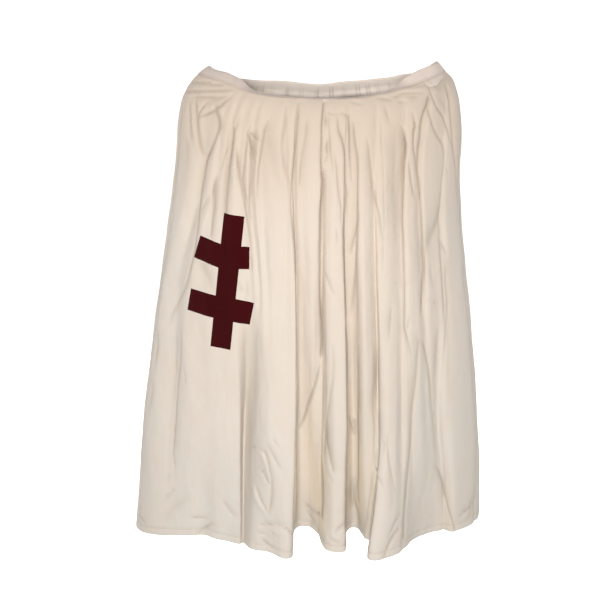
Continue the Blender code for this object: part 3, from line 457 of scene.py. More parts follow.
    ("slant_c", 2.3, 1.8, 1.8, ((-59.7, -772, 0.4), (-56.4, -758, 1), (-53, -745, 1), (-51.3, -738, 0.4))),
    ("slant_d", 1.7, 1.5, 1.5, ((-58.7, -732, 0.3), (-56.3, -719, 0.8), (-54.8, -712, 0.3))),
    ("slant_e", 2.6, 5.8, 8.8, ((-57.1, -805, 0.3), (-53.8, -787, 0.9), (-49, -773, 1),
        (-45.7, -759, 0.5))),
    ("hem_i", 2.2, 1.5, 1.5, ((-43.6, -790, 0.5), (-40.7, -792, 1), (-37.7, -793, 0.9),
        (-35.3, -790, 0.3))),
    ("hem_j", 3.6, 4.3, 2.8, ((-38.8, -824, 0.6), (-36.4, -813, 1), (-34.2, -802, 0.7))),
    ("slant_f", 2.5, 2.8, 4.3, ((-30.4, -750, 0.3), (-28.8, -762, 1), (-27.2, -773, 0.9),
        (-25.8, -779, 0.3))),
    ("hem_k", 3.1, 2.8, 2.8, ((-86.3, -827, 0.5), (-76.8, -822, 1), (-71.9, -824, 0.5))),
    ("recess_slant", 4.2, 11.8, 1.5, ((0, -494, 0.4), (-1, -517, 1), (-2.1, -543, 1), (-3.4, -570, 1),
        (-4.7, -601, 1), (-6.4, -627, 0.6))),
    ("recess_ridge", -2.0, 1.5, 2.8, ((0.3, -500, 0.3), (-1.6, -540, 0.9), (-3.9, -589, 0.9),
        (-5.7, -628, 0.4))),
    ("recess_dark", 3.8, 8.8, 2.2, ((0.6, -638, 0.2), (0.9, -676, 0.6), (1.2, -712, 1), (1.3, -750, 1),
        (1.1, -788, 1))),
    ("recess_hem_a", 3.9, 4.3, 2.8, ((-3.9, -789, 0.3), (-2.6, -798, 1), (-0.7, -798, 1),
        (0.4, -791, 0.8))),
    ("recess_hem_b", 3.2, 4.3, 4.3, ((-3.9, -795, 0.4), (-2.6, -814, 1), (-1, -820, 0.6))),
    ("sliver", 5.2, 2.8, 5.8, ((2.7, -595, 0.4), (2.6, -624, 1), (3.2, -646, 1), (3.8, -663, 1),
        (4.7, -681, 0.8))),
    ("sliver_low", 2.6, 2.8, 5.8, ((2.4, -682, 0.4), (3.7, -694, 0.8), (4.4, -701, 0.4))),
    ("stripe", 2.9, 1.5, 2.8, ((4.1, -447, 0.3), (4.5, -473, 0.7), (4.2, -509, 0.7), (3.4, -538, 0.8),
        (3.1, -557, 1), (2.7, -576, 1), (2.3, -606, 1), (2, -647, 0.8), (1.9, -677, 0.4))),
    ("ridge_hem_a", 3.4, 2.8, 1.5, ((5.6, -801, 0.4), (7, -791, 1), (8.2, -785, 0.8))),
    ("ridge_hem_b", 2.5, 1.5, 2.8, ((3.3, -814, 0.4), (4.9, -819, 1), (7, -824, 0.6))),
    ("mid_l", 2.9, 1.5, 2.8, ((0.9, -319, 0.3), (2.3, -331, 1), (3.6, -347, 0.8), (5, -357, 0.5))),
    ("mid_m", 1.7, 1.2, 1.2, ((5.6, -248, 0.3), (6.2, -261, 1), (6.4, -273, 0.5))),
    ("cross_a", 2.2, 1.5, 2.2, ((-29.7, -340, 0.3), (-28.1, -355, 1), (-26, -359, 0.8),
        (-24.8, -357, 0.3))),
    ("cross_b", 2.0, 1.2, 1.5, ((-26.3, -340, 0.3), (-25.7, -357, 0.8), (-25.9, -374, 0.5))),
    ("cross_c", 3.9, 5.8, 8.8, ((-49.1, -315, 0.4), (-45.6, -324, 1), (-42.6, -338, 1),
        (-40.7, -356, 0.6))),
    ("tuck_fill", -4.2, 5.8, 5.8, ((31.3, -330, 0.3), (31.3, -400, 0.9), (31.3, -480, 1), (31.1, -620, 1),
        (29.5, -720, 0.9), (27.6, -834, 0.6))),
    ("right_soft", 3.0, 9.0, 9.0, ((58.5, -300, 0.2), (58, -340, 0.9), (54.6, -470, 1), (52.3, -560, 0.7),
        (51, -620, 0.2))),
    ("side_left_a", 3.2, 1.5, 8.8, ((-78, -44, 0.4), (-78.6, -110, 1), (-79.6, -210, 0.9),
        (-80.4, -330, 0.7), (-81, -460, 0.3))),
    ("side_left_b", 2.9, 7.3, 1.5, ((-83.4, -250, 0.3), (-82.6, -360, 0.9), (-81.6, -500, 1),
        (-80.6, -660, 0.9), (-80, -834, 0.9))),
    ("side_left_c", 2.4, 4.3, 2.2, ((-73, -230, 0.3), (-75.6, -290, 1), (-77.6, -360, 0.3))),
    ("side_right_a", 2.2, 8.8, 1.5, ((80, -60, 0.4), (80.4, -140, 1), (79.6, -260, 0.9), (79.4, -400, 0.6),
        (80, -500, 0.2))),
    ("side_right_b", 3.1, 1.5, 7.3, ((74, -330, 0.3), (74.6, -430, 0.9), (76, -560, 1), (77, -690, 0.9),
        (77.6, -828, 0.9))),
    ("side_right_c", 2.4, 2.2, 4.3, ((84, -180, 0.3), (82, -240, 1), (78.6, -300, 0.4))),
)]
BACK_CREASES = [Crease(*row) for row in (
    ("tuck_a", 4.4, 2.2, 5.8, ((71, -24, 0.8), (70.5, -110, 1), (72, -250, 0.7), (71.5, -420, 0.4),
        (72, -640, 0.3))),
    ("tuck_b", 5.5, 5.8, 2.2, ((55.5, -30, 0.7), (55, -90, 1), (54, -200, 1), (53, -370, 0.8),
        (52.5, -600, 0.5), (52.5, -835, 0.8))),
    ("tuck_b_low", 3.1, 2.8, 5.8, ((59, -180, 0.3), (57, -260, 1), (57.5, -330, 0.6))),
    ("tuck_c", 4.9, 1.5, 7, ((41.5, -36, 0.8), (41, -120, 1), (39, -240, 0.9), (37.5, -420, 0.5),
        (37, -560, 0.2))),
    ("slant_a", 3.4, 4, 1.5, ((47, -60, 0.4), (45, -110, 1), (41, -170, 0.6))),
    ("tuck_d", 6.2, 4.6, 1.5, ((27, -38, 0.7), (26, -100, 1), (24.5, -230, 1), (22.5, -400, 0.9),
        (22, -620, 0.8), (21.5, -838, 1))),
    ("tuck_d_side", 3.6, 1.5, 4.6, ((20.5, -42, 0.6), (18, -130, 1), (16, -250, 0.7), (15.5, -330, 0.3))),
    ("fork_a", 3.1, 1.5, 4, ((24, -190, 0.3), (19, -260, 1), (16, -340, 0.5))),
    ("tuck_e", 4.2, 1.5, 5.8, ((8, -40, 0.8), (7, -140, 1), (5.5, -290, 0.7), (5, -460, 0.3))),
    ("thin_a", 2.6, 1.2, 2.8, ((1.5, -48, 0.5), (0.5, -120, 1), (2, -210, 0.6))),
    ("tuck_f", 5.7, 2.2, 7, ((-7, -40, 0.8), (-7.5, -110, 1), (-8, -260, 0.9), (-7, -430, 0.8),
        (-8.5, -640, 0.6), (-9, -838, 0.9))),
    ("thin_b", 2.9, 2.2, 1.5, ((-12.5, -52, 0.4), (-12, -130, 1), (-10, -200, 0.5))),
    ("tuck_g", 6.0, 5.2, 1.5, ((-21.5, -40, 0.7), (-20, -130, 1), (-18.5, -280, 0.9), (-18, -450, 0.7),
        (-19.5, -838, 0.9))),
    ("tuck_g_side", 3.6, 1.5, 4, ((-27, -40, 0.6), (-26.5, -120, 1), (-25.5, -230, 0.7), (-25, -350, 0.3))),
    ("slant_b", 3.4, 2.2, 5.8, ((-30, -90, 0.3), (-26, -150, 1), (-22, -230, 0.5))),
    ("tuck_h", 4.7, 2.2, 6.4, ((-41, -36, 0.8), (-42, -120, 1), (-41, -260, 0.8), (-41.5, -400, 0.4))),
    ("thin_c", 2.6, 1.2, 2.8, ((-35, -46, 0.5), (-35.5, -110, 1), (-34, -190, 0.4))),
    ("tuck_i", 5.5, 6.4, 2.2, ((-55.5, -32, 0.7), (-56.5, -120, 1), (-57, -260, 1), (-58, -430, 0.8),
        (-58, -640, 0.5), (-58, -835, 0.8))),
    ("fork_b", 3.1, 4, 1.5, ((-50, -110, 0.3), (-53, -180, 1), (-55.5, -240, 0.5))),
    ("tuck_j", 4.2, 2.2, 5.2, ((-72, -22, 0.8), (-72.5, -110, 1), (-74, -250, 0.7), (-74, -420, 0.3))),
    ("side_a", 3.1, 4, 5.8, ((80, -30, 0.4), (79, -110, 1), (81, -220, 0.5))),
    ("side_b", 3.1, 5.8, 4, ((-81, -28, 0.4), (-80, -100, 1), (-81, -190, 0.5))),
    ("pull_a", 2.9, 3.4, 2.2, ((-68, -22, 0.4), (-60, -30, 1), (-50, -38, 0.5))),
    ("pull_b", 2.6, 2.8, 2.2, ((52, -42, 0.4), (61, -34, 1), (70, -28, 0.4))),
    ("low_a", 3.4, 2.2, 7, ((33, -470, 0.3), (31, -560, 0.9), (30.5, -700, 1), (30, -838, 0.9))),
    ("low_b", 3.4, 7, 2.2, ((12, -430, 0.3), (12, -560, 0.9), (11, -720, 1), (11, -838, 0.8))),
    ("low_c", 3.4, 2.2, 7, ((-31, -420, 0.3), (-32, -560, 0.9), (-31.5, -700, 1), (-31, -838, 0.9))),
    ("low_d", 3.1, 5.8, 2.2, ((-46, -500, 0.3), (-47, -640, 1), (-48, -835, 0.8))),
    ("low_e", 3.1, 2.2, 5.8, ((63, -460, 0.3), (64, -600, 1), (63, -835, 0.7))),
    ("curl_a", 3.1, 2.2, 3.4, ((44, -690, 0.4), (41, -702, 1), (38.5, -722, 1), (37.5, -748, 0.5))),
    ("curl_b", 2.6, 2.8, 2.8, ((-25, -730, 0.4), (-27, -752, 1), (-30, -766, 0.4))),
    ("hem_a", 2.9, 3.4, 2.2, ((3, -800, 0.4), (-1, -812, 1), (-4, -830, 0.7))),
    ("hem_b", 2.6, 2.2, 2.8, ((-64, -788, 0.3), (-66, -806, 1), (-67, -826, 0.6))),
    ("hem_c", 2.6, 3.4, 2.2, ((68, -792, 0.4), (71, -808, 1), (75, -820, 0.4))),
    ("yoke_a", 3.4, 1.5, 8.8, ((64, -28, 0.5), (58, -52, 1), (49, -86, 1), (43, -128, 0.4))),
    ("yoke_b", 2.6, 5.8, 1.5, ((33, -40, 0.5), (35, -72, 1), (33, -108, 0.8), (29, -150, 0.2))),
    ("yoke_c", 3.0, 1.5, 7.3, ((-60, -28, 0.5), (-53, -60, 1), (-46, -92, 1), (-38, -140, 0.3))),
    ("yoke_d", 2.4, 4, 1.5, ((-14, -44, 0.5), (-16, -78, 1), (-21, -118, 0.7), (-24, -150, 0.2))),
    ("sweep_a", 3.6, 1.5, 11.8, ((48, -200, 0.3), (44, -300, 1), (42, -420, 1), (45, -560, 0.8),
        (47, -700, 0.6), (48, -836, 0.8))),
    ("sweep_b", 3.2, 8.8, 1.5, ((13, -240, 0.3), (9, -330, 1), (2, -420, 0.9), (-1, -520, 0.7),
        (1, -640, 0.3))),
    ("sweep_c", 3.4, 1.5, 10.3, ((-33, -230, 0.3), (-36, -320, 1), (-40, -430, 0.9), (-38, -560, 0.7),
        (-37, -700, 0.3))),
    ("sweep_d", 2.8, 7.3, 2.2, ((-66, -190, 0.3), (-68, -300, 1), (-64, -420, 0.8), (-66, -540, 0.3))),
    ("curl_c", 3.1, 1.5, 2.8, ((28, -640, 0.4), (25.5, -650, 1), (23.6, -672, 1), (23, -702, 0.5))),
    ("curl_d", 2.8, 2.8, 1.5, ((-52, -690, 0.4), (-49.6, -704, 1), (-49, -728, 0.9), (-50.6, -752, 0.3))),
    ("hem_d", 3.1, 1.5, 5.8, ((48, -790, 0.4), (44, -784, 1), (39, -786, 1), (35, -800, 0.4))),
    ("hem_e", 2.8, 4.3, 1.5, ((-14, -786, 0.4), (-18, -792, 1), (-21, -812, 0.8))),
)]

# Gaps between the rows of points at shares of the length
FRONT_GAPS = (
    (0.0, 1.7), (0.012, 2.1), (0.09, 2.5), (0.22, 4.0), (0.4, 6.3), (0.66, 6.5), (0.72, 4.5), (0.95, 4.5),
    (0.975, 3.2), (1.0, 2.3),
)
BACK_GAPS = (
    (0.0, 1.8), (0.012, 2.8), (0.1, 4.5), (0.25, 6.5), (0.4, 8.5), (0.95, 9.0), (0.975, 4.0), (1.0, 2.6),
)

# Part of the fold lines' depth that the cloth keeps; near the neck the creases take the place of the rest
EASE_SHARES = (0.0, 0.149, 0.26, 0.424, 0.6)
FRONT_EASE = (0.30, 0.32, 0.55, 0.85, 1.0)
BACK_EASE = (0.5, 0.55, 0.8, 1.0, 1.0)

# Folds where the band's front turns down at each side: turn in degrees, height and width in degrees
FLAP_FOLDS = (
    (-43, 1.4, 1.6), (-48, -0.9, 2.0), (-55, 0.9, 2.5), (-64, -0.8, 3.0), (37, 1.2, 1.6), (42, -0.8, 2.0),
    (52, 0.9, 3.0),
)
# Gathers that press through the band's inside at the back: turn in degrees and height
GATHERS = (
    (-44, 0.6), (-35.1, 0.8), (-32.7, 0.7), (-29.7, 0.9), (-24, 0.4), (-16.2, 0.8), (-9, 0.4), (-1.0, 0.8),
    (5.9, 0.9), (12.2, 0.5), (19.3, 0.8), (24.5, 0.9), (29.4, 0.6), (36.4, 0.7), (43.3, 0.5), (52, 0.5),
    (-56, 0.5), (66, 0.6),
)
# The band's section outside (part of its height, distance out), inside (part, distance in, part of a gather)
# and where its edge is turned in under the panels (drop, distance in)
BAND_OUTSIDE = (
    (0.0, -0.2), (0.06, 0.35), (0.13, -0.25), (0.22, 0.30), (0.45, 0.55), (0.7, 0.45), (0.86, 0.25),
)
BAND_INSIDE = ((0.8, 0.2, 0.1), (0.5, 0.35, 0.4), (0.25, 0.2, 0.9), (0.02, 0.0, 1.0))
BAND_TURNED = ((3.5, 2.6), (TURN_IN, 4.8), (TURN_IN, 4.1))
# Painted shade and light of the band along its section, from the foot outside round to the foot inside:
# shade outside and at the top edge, light inside; and the painted shadows beside its gathers
BAND_PAINTED_SHADING = (
    0.6, 0.36, 0.5, 0.33, 0.28, 0.28, 0.3, 0.36, 0.3, -0.3, -1.0, -1.0, -1.0, -0.9, -1.0, -0.8, 0.0, 0.2,
)
GATHER_PAINTED_SHADOWS = (0.0,) * 11 + (0.3, 0.6, 0.6, 0.6, 0.5, 0.2, 0.2)


# Curves and surfaces

def slopes(x, y):
    """Slopes of smooth curves that overshoot none of their points, which run along the first axis."""
    steps = np.diff(x).reshape((-1,) + (1,) * (y.ndim - 1))
    rises = np.diff(y, axis=0) / steps
    out = np.zeros_like(y)
    out[0], out[-1] = rises[0], rises[-1]
    if len(x) > 2:
        before, after = rises[:-1], rises[1:]
        w_before = 2.0 * steps[1:] + steps[:-1]
        w_after = steps[1:] + 2.0 * steps[:-1]
        turning = before * after <= 0.0
        safe_b = np.where(turning, 1.0, before)
        safe_a = np.where(turning, 1.0, after)
        out[1:-1] = np.where(turning, 0.0, (w_before + w_after) / (w_before / safe_b + w_after / safe_a))
    return out


def curve(x, y, at):
    """Values of those curves at places; the places run along the first axis of the result."""
    x, y, at = np.asarray(x, float), np.asarray(y, float), np.asarray(at, float)
    m = slopes(x, y)
    at = np.clip(at, x[0], x[-1])
    i = np.clip(np.searchsorted(x, at, side="right") - 1, 0, len(x) - 2)
    grow = (slice(None),) + (None,) * (y.ndim - 1)
    step = (x[i + 1] - x[i])[grow]
    t = ((at - x[i]) / (x[i + 1] - x[i]))[grow]
    r = 1.0 - t
    return (
        y[i] * (1.0 + 2.0 * t) * r * r + m[i] * step * t * r * r
        + y[i + 1] * t * t * (3.0 - 2.0 * t) - m[i + 1] * step * t * t * r
    )


def curve_flat(x, y, at):
    """The same for an array of places of any shape and one curve."""
    at = np.asarray(at, float)
    return curve(x, np.asarray(y, float), at.ravel()).reshape(at.shape)


def smooth_step(low, high, value):
    """Zero up to low, one from high on, and a smooth rise between them."""
    t = np.clip((value - low) / (high - low), 0.0, 1.0)
    return t * t * (3.0 - 2.0 * t)


def bell(value, middle, width):
    """One at the middle, falling off smoothly to both sides."""
    return math.exp(-((value - middle) / width) ** 2)


def unit(vector):
    """The vector made one long."""
    return vector / np.linalg.norm(vector)


def running_sum(steps):
    """Sums of the steps up to each place, from zero."""
    return np.concatenate([[0.0], np.cumsum(steps)])


def from_table(table, given, wanted, at):
    """One named column of a table of rows as a smooth curve over another, at places."""
    return curve_flat([getattr(row, given) for row in table], [getattr(row, wanted) for row in table], at)


def body_size(share, side):
    """Size of the body's oval to one side at shares of the length."""
    return from_table(BODY, "share", side, share)


def half_width(share, turn):
    """Half width of the oval on the side of each turn."""
    return np.where(turn < 0.0, body_size(share, "left"), body_size(share, "right"))


def neck_value(turn, name):
    """Height of the neck's edge or lean of the band at turns."""
    return from_table(NECK, "across", name, np.sin(turn))


def hem_height(turn, front):
    """Height of the hem at turns."""
    return curve_flat(*zip(*(HEM_FRONT if front else HEM_BACK)), np.sin(turn))


def band_lean(turn, front):
    """How far the band leans in, in degrees from upright."""
    if not front:
        return float(neck_value(np.array(turn), "back_lean"))
    return float(np.interp(math.sin(turn), *zip(*FRONT_LEAN)))


def panel_lines(front):
    """The fold lines of a panel."""
    return FRONT_LINES if front else BACK_LINES


def line_tables(front, shares):
    """Turn and depth of every fold line at each share: arrays of rows by lines."""
    shares = np.asarray(shares, float)
    first = -math.pi / 2 if front else math.pi / 2
    turns, depths = [np.full(len(shares), first)], [np.zeros(len(shares))]
    for line in panel_lines(front):
        chest = line.in_chest * CHEST_EASE
        top = (0.0, chest * YOKE_PART, chest)
        if front:
            across = (line.neck, line.chest, line.waist, line.thigh, line.hem)
            parts = [x / float(half_width(level, x)) for level, x in zip(LINE_SHARES, across)]
            turns.append(np.arcsin(curve_flat(LINE_SHARES, parts, shares)))
            inset = top + (line.in_breast, line.in_waist, line.in_thigh, line.in_hem)
            depths.append(curve_flat(DEPTH_SHARES, inset, shares))
        else:
            place = curve_flat(BACK_PLACE_SHARES, (line.neck, line.waist, line.hem), shares)
            turns.append(math.pi / 2 - math.pi * place)
            depths.append(curve_flat(BACK_DEPTH_SHARES, top + (line.in_waist, line.in_hem), shares))
    turns.append(np.full(len(shares), -first))
    depths.append(np.zeros(len(shares)))
    return np.stack(turns, axis=1), np.stack(depths, axis=1)


def sheet_values(front, shares, places):
    """Turn and inset of a panel at rows of shares and columns of places, and its turns at neck and hem."""
    turns, depths = line_tables(front, shares)
    knots = np.arange(turns.shape[1], dtype=float)
    ends = curve(knots, line_tables(front, (0.0, 1.0))[0].T, places).T
    return curve(knots, turns.T, places).T, curve(knots, depths.T, places).T, ends


def sheet_points(front, shares, turn, inset, ends):
    """Points of a panel with those turns and insets."""
    shares = np.asarray(shares)[:, None] * np.ones_like(turn)
    across = np.sin(turn)
    deep = body_size(shares, "front" if front else "back")
    swing = smooth_step(SIDE_TURN_FROM, SIDE_TURN_TO, np.abs(across)) * SIDE_SWING
    facing = -1.0 if front else 1.0
    x = half_width(shares, across) * across - inset * np.copysign(np.sin(swing), across)
    y = facing * (deep * np.cos(turn) - inset * np.cos(swing))
    neck_z = neck_value(ends[0], "front" if front else "back")[None, :]
    hem_z = hem_height(ends[1], front)[None, :]
    z = neck_z + (hem_z - neck_z) * shares
    return np.stack([x, y, z], axis=-1)


def row_shares(gaps):
    """Shares of the rows from a table of how far apart they are at places down the cloth."""
    fine = np.linspace(0.0, 1.0, 4001)
    along = running_sum(np.diff(fine) / np.interp(fine[1:], *zip(*gaps))) * ROWS_LENGTH
    count = THIN_OUT * int(round(along[-1] / THIN_OUT))
    return np.interp(np.linspace(0.0, along[-1], count + 1), along, fine)


ARC_TURNS = np.linspace(0.0, math.pi / 2, 181)
ARC_LENGTHS = running_sum(
    np.hypot(np.cos(ARC_TURNS[1:]), OVAL_DEPTH * np.sin(ARC_TURNS[1:])) * np.diff(ARC_TURNS)
)


def arc_place(turn, z):
    """Length along the oval from the middle to a turn, at a height."""
    share = np.clip((-z - TOP_DROP) / TOP_TO_HEM, 0.0, 1.0)
    return half_width(share, turn) * np.sign(turn) * np.interp(np.abs(turn), ARC_TURNS, ARC_LENGTHS)


def nearest_on_path(p, q, a, b, shares):
    """Distance of points from a path, the side of it that they lie on, and the path's share there."""
    best, side, part = np.full(p.shape, 1e9), np.zeros(p.shape), np.zeros(p.shape)
    for k in range(len(a) - 1):
        da, db = a[k + 1] - a[k], b[k + 1] - b[k]
        size = max(1e-6, da * da + db * db)
        t = np.clip(((p - a[k]) * da + (q - b[k]) * db) / size, 0.0, 1.0)
        ea, eb = p - (a[k] + da * t), q - (b[k] + db * t)
        dist = np.hypot(ea, eb)
        closer = dist < best
        best = np.where(closer, dist, best)
        # The cloth at a crease's right lies clockwise of its way down
        side = np.where(closer, np.sign(eb * da - ea * db), side)
        part = np.where(closer, shares[k] + (shares[k + 1] - shares[k]) * t, part)
    return best, side, part


def crease_inset(creases, turn, z):
    """How far the creases sink the cloth, and how strongly painted shade darkens each point along one."""
    place = arc_place(turn, z)
    total, painted_shading = np.zeros_like(turn), np.zeros_like(turn)
    for crease in creases:
        path = np.array(crease.path, float)
        knots = np.arange(len(path), dtype=float)
        fine = curve(knots, path, np.linspace(0.0, knots[-1], 8 * len(path)))
        a, b = arc_place(np.radians(fine[:, 0]), fine[:, 1]), fine[:, 1]
        reach = CREASE_REACH * max(crease.left, crease.right)
        near = (place > a.min() - reach) & (place < a.max() + reach)
        near &= (z > b.min() - reach) & (z < b.max() + reach)
        if not near.any():
            continue
        best, side, part = nearest_on_path(place[near], z[near], a, b, fine[:, 2])
        narrow = min(crease.left, crease.right)
        soft = 0.22 * narrow + 0.25
        far = np.sqrt(best * best + soft * soft) - soft
        shape = np.exp(-far / np.where(side > 0.0, crease.right, crease.left))
        total[near] += crease.depth * part * shape
        # Painted shade: a dark line along a sharp crease with softer shade beside it; a soft crease gets
        # only the softer shade
        if narrow < SOFT_WIDTH:
            line = np.exp(-np.maximum(0.0, best - 0.5) / LINE_WIDTH) + 0.36 * shape
        else:
            line = 0.62 * shape
        painted_shading[near] = np.maximum(painted_shading[near], np.clip(part * line * crease.depth / 5.0, 0.0, 1.0))
    return total, painted_shading


def even_places(front, count):
    """Places of the columns: evenly spread over the cloth, and closer together where it has creases."""
    lines = len(panel_lines(front)) + 1
    fine = np.linspace(0.0, lines, lines * 50 + 1)
    shares = np.linspace(0.03, 0.99, 33)
    turn, inset, ends = sheet_values(front, shares, fine)
    points = sheet_points(front, shares, turn, inset, ends)
    creases = crease_inset(FRONT_CREASES if front else BACK_CREASES, turn, points[..., 2])[0]
    widths = np.linalg.norm(np.diff(points, axis=1), axis=-1)
    bends = np.abs(np.diff(creases, axis=1))
    weight = (widths + CREASE_PULL * bends).mean(axis=0)
    along = running_sum(weight + 0.3 * weight.mean())
    return np.interp(np.linspace(0.0, along[-1], count), along, fine)


def grid_normals(points, front):
    """Unit outward normals of a grid of points."""
    across = np.gradient(points, axis=1)
    down = np.gradient(points, axis=0)
    normal = np.cross(across, down)
    normal /= np.maximum(1e-12, np.linalg.norm(normal, axis=-1, keepdims=True))
    outward = np.array([0.0, -1.0 if front else 1.0, 0.0])
    middle = normal[: normal.shape[0] // 4].mean(axis=(0, 1))
    return normal if middle @ outward > 0 else -normal


def noise_grid(points, scale, seed):
    """Smooth noise at points that are scaled, as an array of the grid's shape."""
    scaled = points * np.asarray(scale) + np.array([seed * 7.3, seed * 3.1, seed * 5.7])
    flat = scaled.reshape(-1, 3)
    values = np.fromiter((noise.noise(p) for p in map(Vector, flat.tolist())), float, len(flat))
    return values.reshape(points.shape[:-1])


# Meshes

def mesh_of(name, verts, faces, face_out=False):
    """Mesh of points in mm and faces, which are all turned outward if need be."""
    mesh = bpy.data.meshes.new(name)
    mesh.from_pydata((np.asarray(verts) * MM).tolist(), [], faces)
    if face_out:
        builder = bmesh.new()
        builder.from_mesh(mesh)
        bmesh.ops.recalc_face_normals(builder, faces=builder.faces)
        builder.to_mesh(mesh)
        builder.free()
    return mesh


def add_layers(mesh, shadings, uv):
    """Gives the mesh the painted shade and light of each point and its place on the cloth in metres."""
    attribute = mesh.attributes.new("painted_shading", "FLOAT", "POINT")
    attribute.data.foreach_set("value", shadings.astype(np.float32))
    layer = mesh.uv_layers.new(name="cloth")
    loops = np.zeros(len(mesh.loops), np.int64)
    mesh.loops.foreach_get("vertex_index", loops)
    layer.data.foreach_set("uv", uv[loops].astype(np.float32).ravel())


def object_of(mesh, material):
    """Object of a mesh, shaded smooth and of one material, in the scene."""
    mesh.polygons.foreach_set("use_smooth", np.ones(len(mesh.polygons), bool))
    mesh.materials.append(material)
    thing = bpy.data.objects.new(mesh.name, mesh)
    bpy.context.scene.collection.objects.link(thing)
    return thing


def shell_object(name, outer, inner, painted_shading, material, uv):
    """Closed thin shell between two grids of points; the inner one keeps every third row and column."""
    rows, cols = outer.shape[:2]
    thick = np.linalg.norm(outer[-1] - inner[-1], axis=-1, keepdims=True)
    down = outer[-1] - outer[-2]
    down /= np.maximum(1e-9, np.linalg.norm(down, axis=-1, keepdims=True))
    edge = (outer[-1] + inner[-1]) / 2.0 + down * 0.35 * thick
    inner = inner[::THIN_OUT, ::THIN_OUT]
    verts = np.concatenate([outer.reshape(-1, 3), inner.reshape(-1, 3), edge])
    out = np.arange(rows * cols).reshape(rows, cols)
    into = rows * cols + np.arange(inner.shape[0] * inner.shape[1]).reshape(inner.shape[:2])
    rim = out.size + into.size + np.arange(cols)

    def cells(grid):
        """Faces of a grid."""
        return np.stack([grid[:-1, :-1], grid[1:, :-1], grid[1:, 1:], grid[:-1, 1:]], axis=-1).reshape(-1, 4)

    def closing(fine, coarse):
        """Faces from a row of points to one with every third point."""
        thirds = [fine[:-3:3], fine[1:-2:3], fine[2:-1:3], fine[3::3]]
        return np.stack([*thirds, coarse[1:], coarse[:-1]], axis=-1)

    faces = [
        cells(out),
        cells(into)[:, ::-1],
        closing(out[0], into[0]),
        np.stack([out[-1, 1:], out[-1, :-1], rim[:-1], rim[1:]], axis=-1),
        closing(rim, into[-1])[:, ::-1],
        closing(out[:, 0], into[:, 0])[:, ::-1],
        closing(out[:, -1], into[:, -1]),
        np.array([[out[-1, 0], into[-1, 0], rim[0]], [into[-1, -1], out[-1, -1], rim[-1]]]),
    ]
    mesh = mesh_of(name, verts, [face for group in faces for face in group.tolist()])
    mesh.validate()
    mesh.update()
    # The inner layer gets less of the painted shade and light
    shadings = np.concatenate([painted_shading.ravel(), painted_shading[::THIN_OUT, ::THIN_OUT].ravel() * 0.3, painted_shading[-1]])
    flat = np.concatenate([uv.reshape(-1, 2), uv[::THIN_OUT, ::THIN_OUT].reshape(-1, 2), uv[-1]])
    add_layers(mesh, shadings, flat)
    return object_of(mesh, material)


def cloth_lengths(points):
    """Lengths in metres along the cloth, across from its middle and down from its top edge."""
    across = np.linalg.norm(np.diff(points, axis=1), axis=-1)
    across = np.concatenate([np.zeros((len(points), 1)), np.cumsum(across, axis=1)], axis=1)
    across -= across[:, points.shape[1] // 2][:, None]
    down = np.linalg.norm(np.diff(points, axis=0), axis=-1)
    down = np.concatenate([np.zeros((1, points.shape[1])), np.cumsum(down, axis=0)], axis=0)
    return np.stack([across, -down], axis=-1) * MM


# Panels

def in_seam(points, front):
    """Points of a panel whose two side edges lie in the seams."""
    for column in (0, -1):
        points[:, column, 1] = (-0.5 if front else 0.5) * SEAM_GAP
    return points


def flat_edges(normals):
    """Normals that stay in the seam's plane along the two side edges."""
    for column in (0, -1):
        normals[:, column, 1] = 0.0
    return normals


def deepest(values, reach):
    """Largest of the values of each point's neighbours along rows and columns."""
    for axis in (0, 1):
        pad = [(0, 0), (0, 0)]
        pad[axis] = (reach, reach)
        padded = np.pad(values, pad, mode="edge")
        size = values.shape[axis]
        moved = [np.take(padded, range(k, k + size), axis=axis) for k in range(2 * reach + 1)]
        values = np.max(moved, axis=0)
    return values


def cloth_lift(points, turn, shares, front):
    """How far wrinkles, hem and seams lift the cloth, its height above the hem and the stitches' pull."""
    # Wrinkles of the cloth, longer down than across, and a fine unevenness
    seed = 1.0 if front else 2.0
    lower = smooth_step(0.02, 0.12, shares)[:, None]
    soft = noise_grid(points, (0.030, 0.030, 0.011), seed)
    small = noise_grid(points, (0.075, 0.075, 0.035), seed + 3.0)
    crumple = noise_grid(points, (0.16, 0.16, 0.10), seed + 5.0)
    lift = 1.5 * soft * lower + 0.55 * small * (0.4 + 0.6 * lower) + 0.16 * crumple
    # Puckers of the hem and of the seams at the sides
    above = points[..., 2] - points[-1, :, 2][None, :]
    in_hem = smooth_step(-1.4, 0.6, HEM_WIDTH - above)
    stitch = np.exp(-((above - HEM_WIDTH) / 2.2) ** 2)
    along = np.linspace(0.0, 1.0, points.shape[1])[None, :] * (FRONT_FLAT if front else BACK_FLAT)
    pucker = np.sin(along / 4.7 + 2.2 * np.sin(along / 23.0) + 1.3 * np.sin(along / 61.0))
    lift = lift + stitch * (-0.55 + 0.30 * pucker) + 0.45 * in_hem * (1.0 - stitch)
    seam = np.exp(-((math.pi / 2 - np.abs(turn)) * 150.0 / 6.0) ** 2)
    ripple = np.sin(points[..., 2] / 5.3 + 1.8 * np.sin(points[..., 2] / 31.0))
    lift = lift * (1.0 - 0.8 * seam) + seam * (-0.7 + 0.35 * ripple)
    # The gathers sink under the band
    return lift - 0.5 * np.exp(-shares[:, None] * GATHER_LENGTH / 3.0), above, stitch


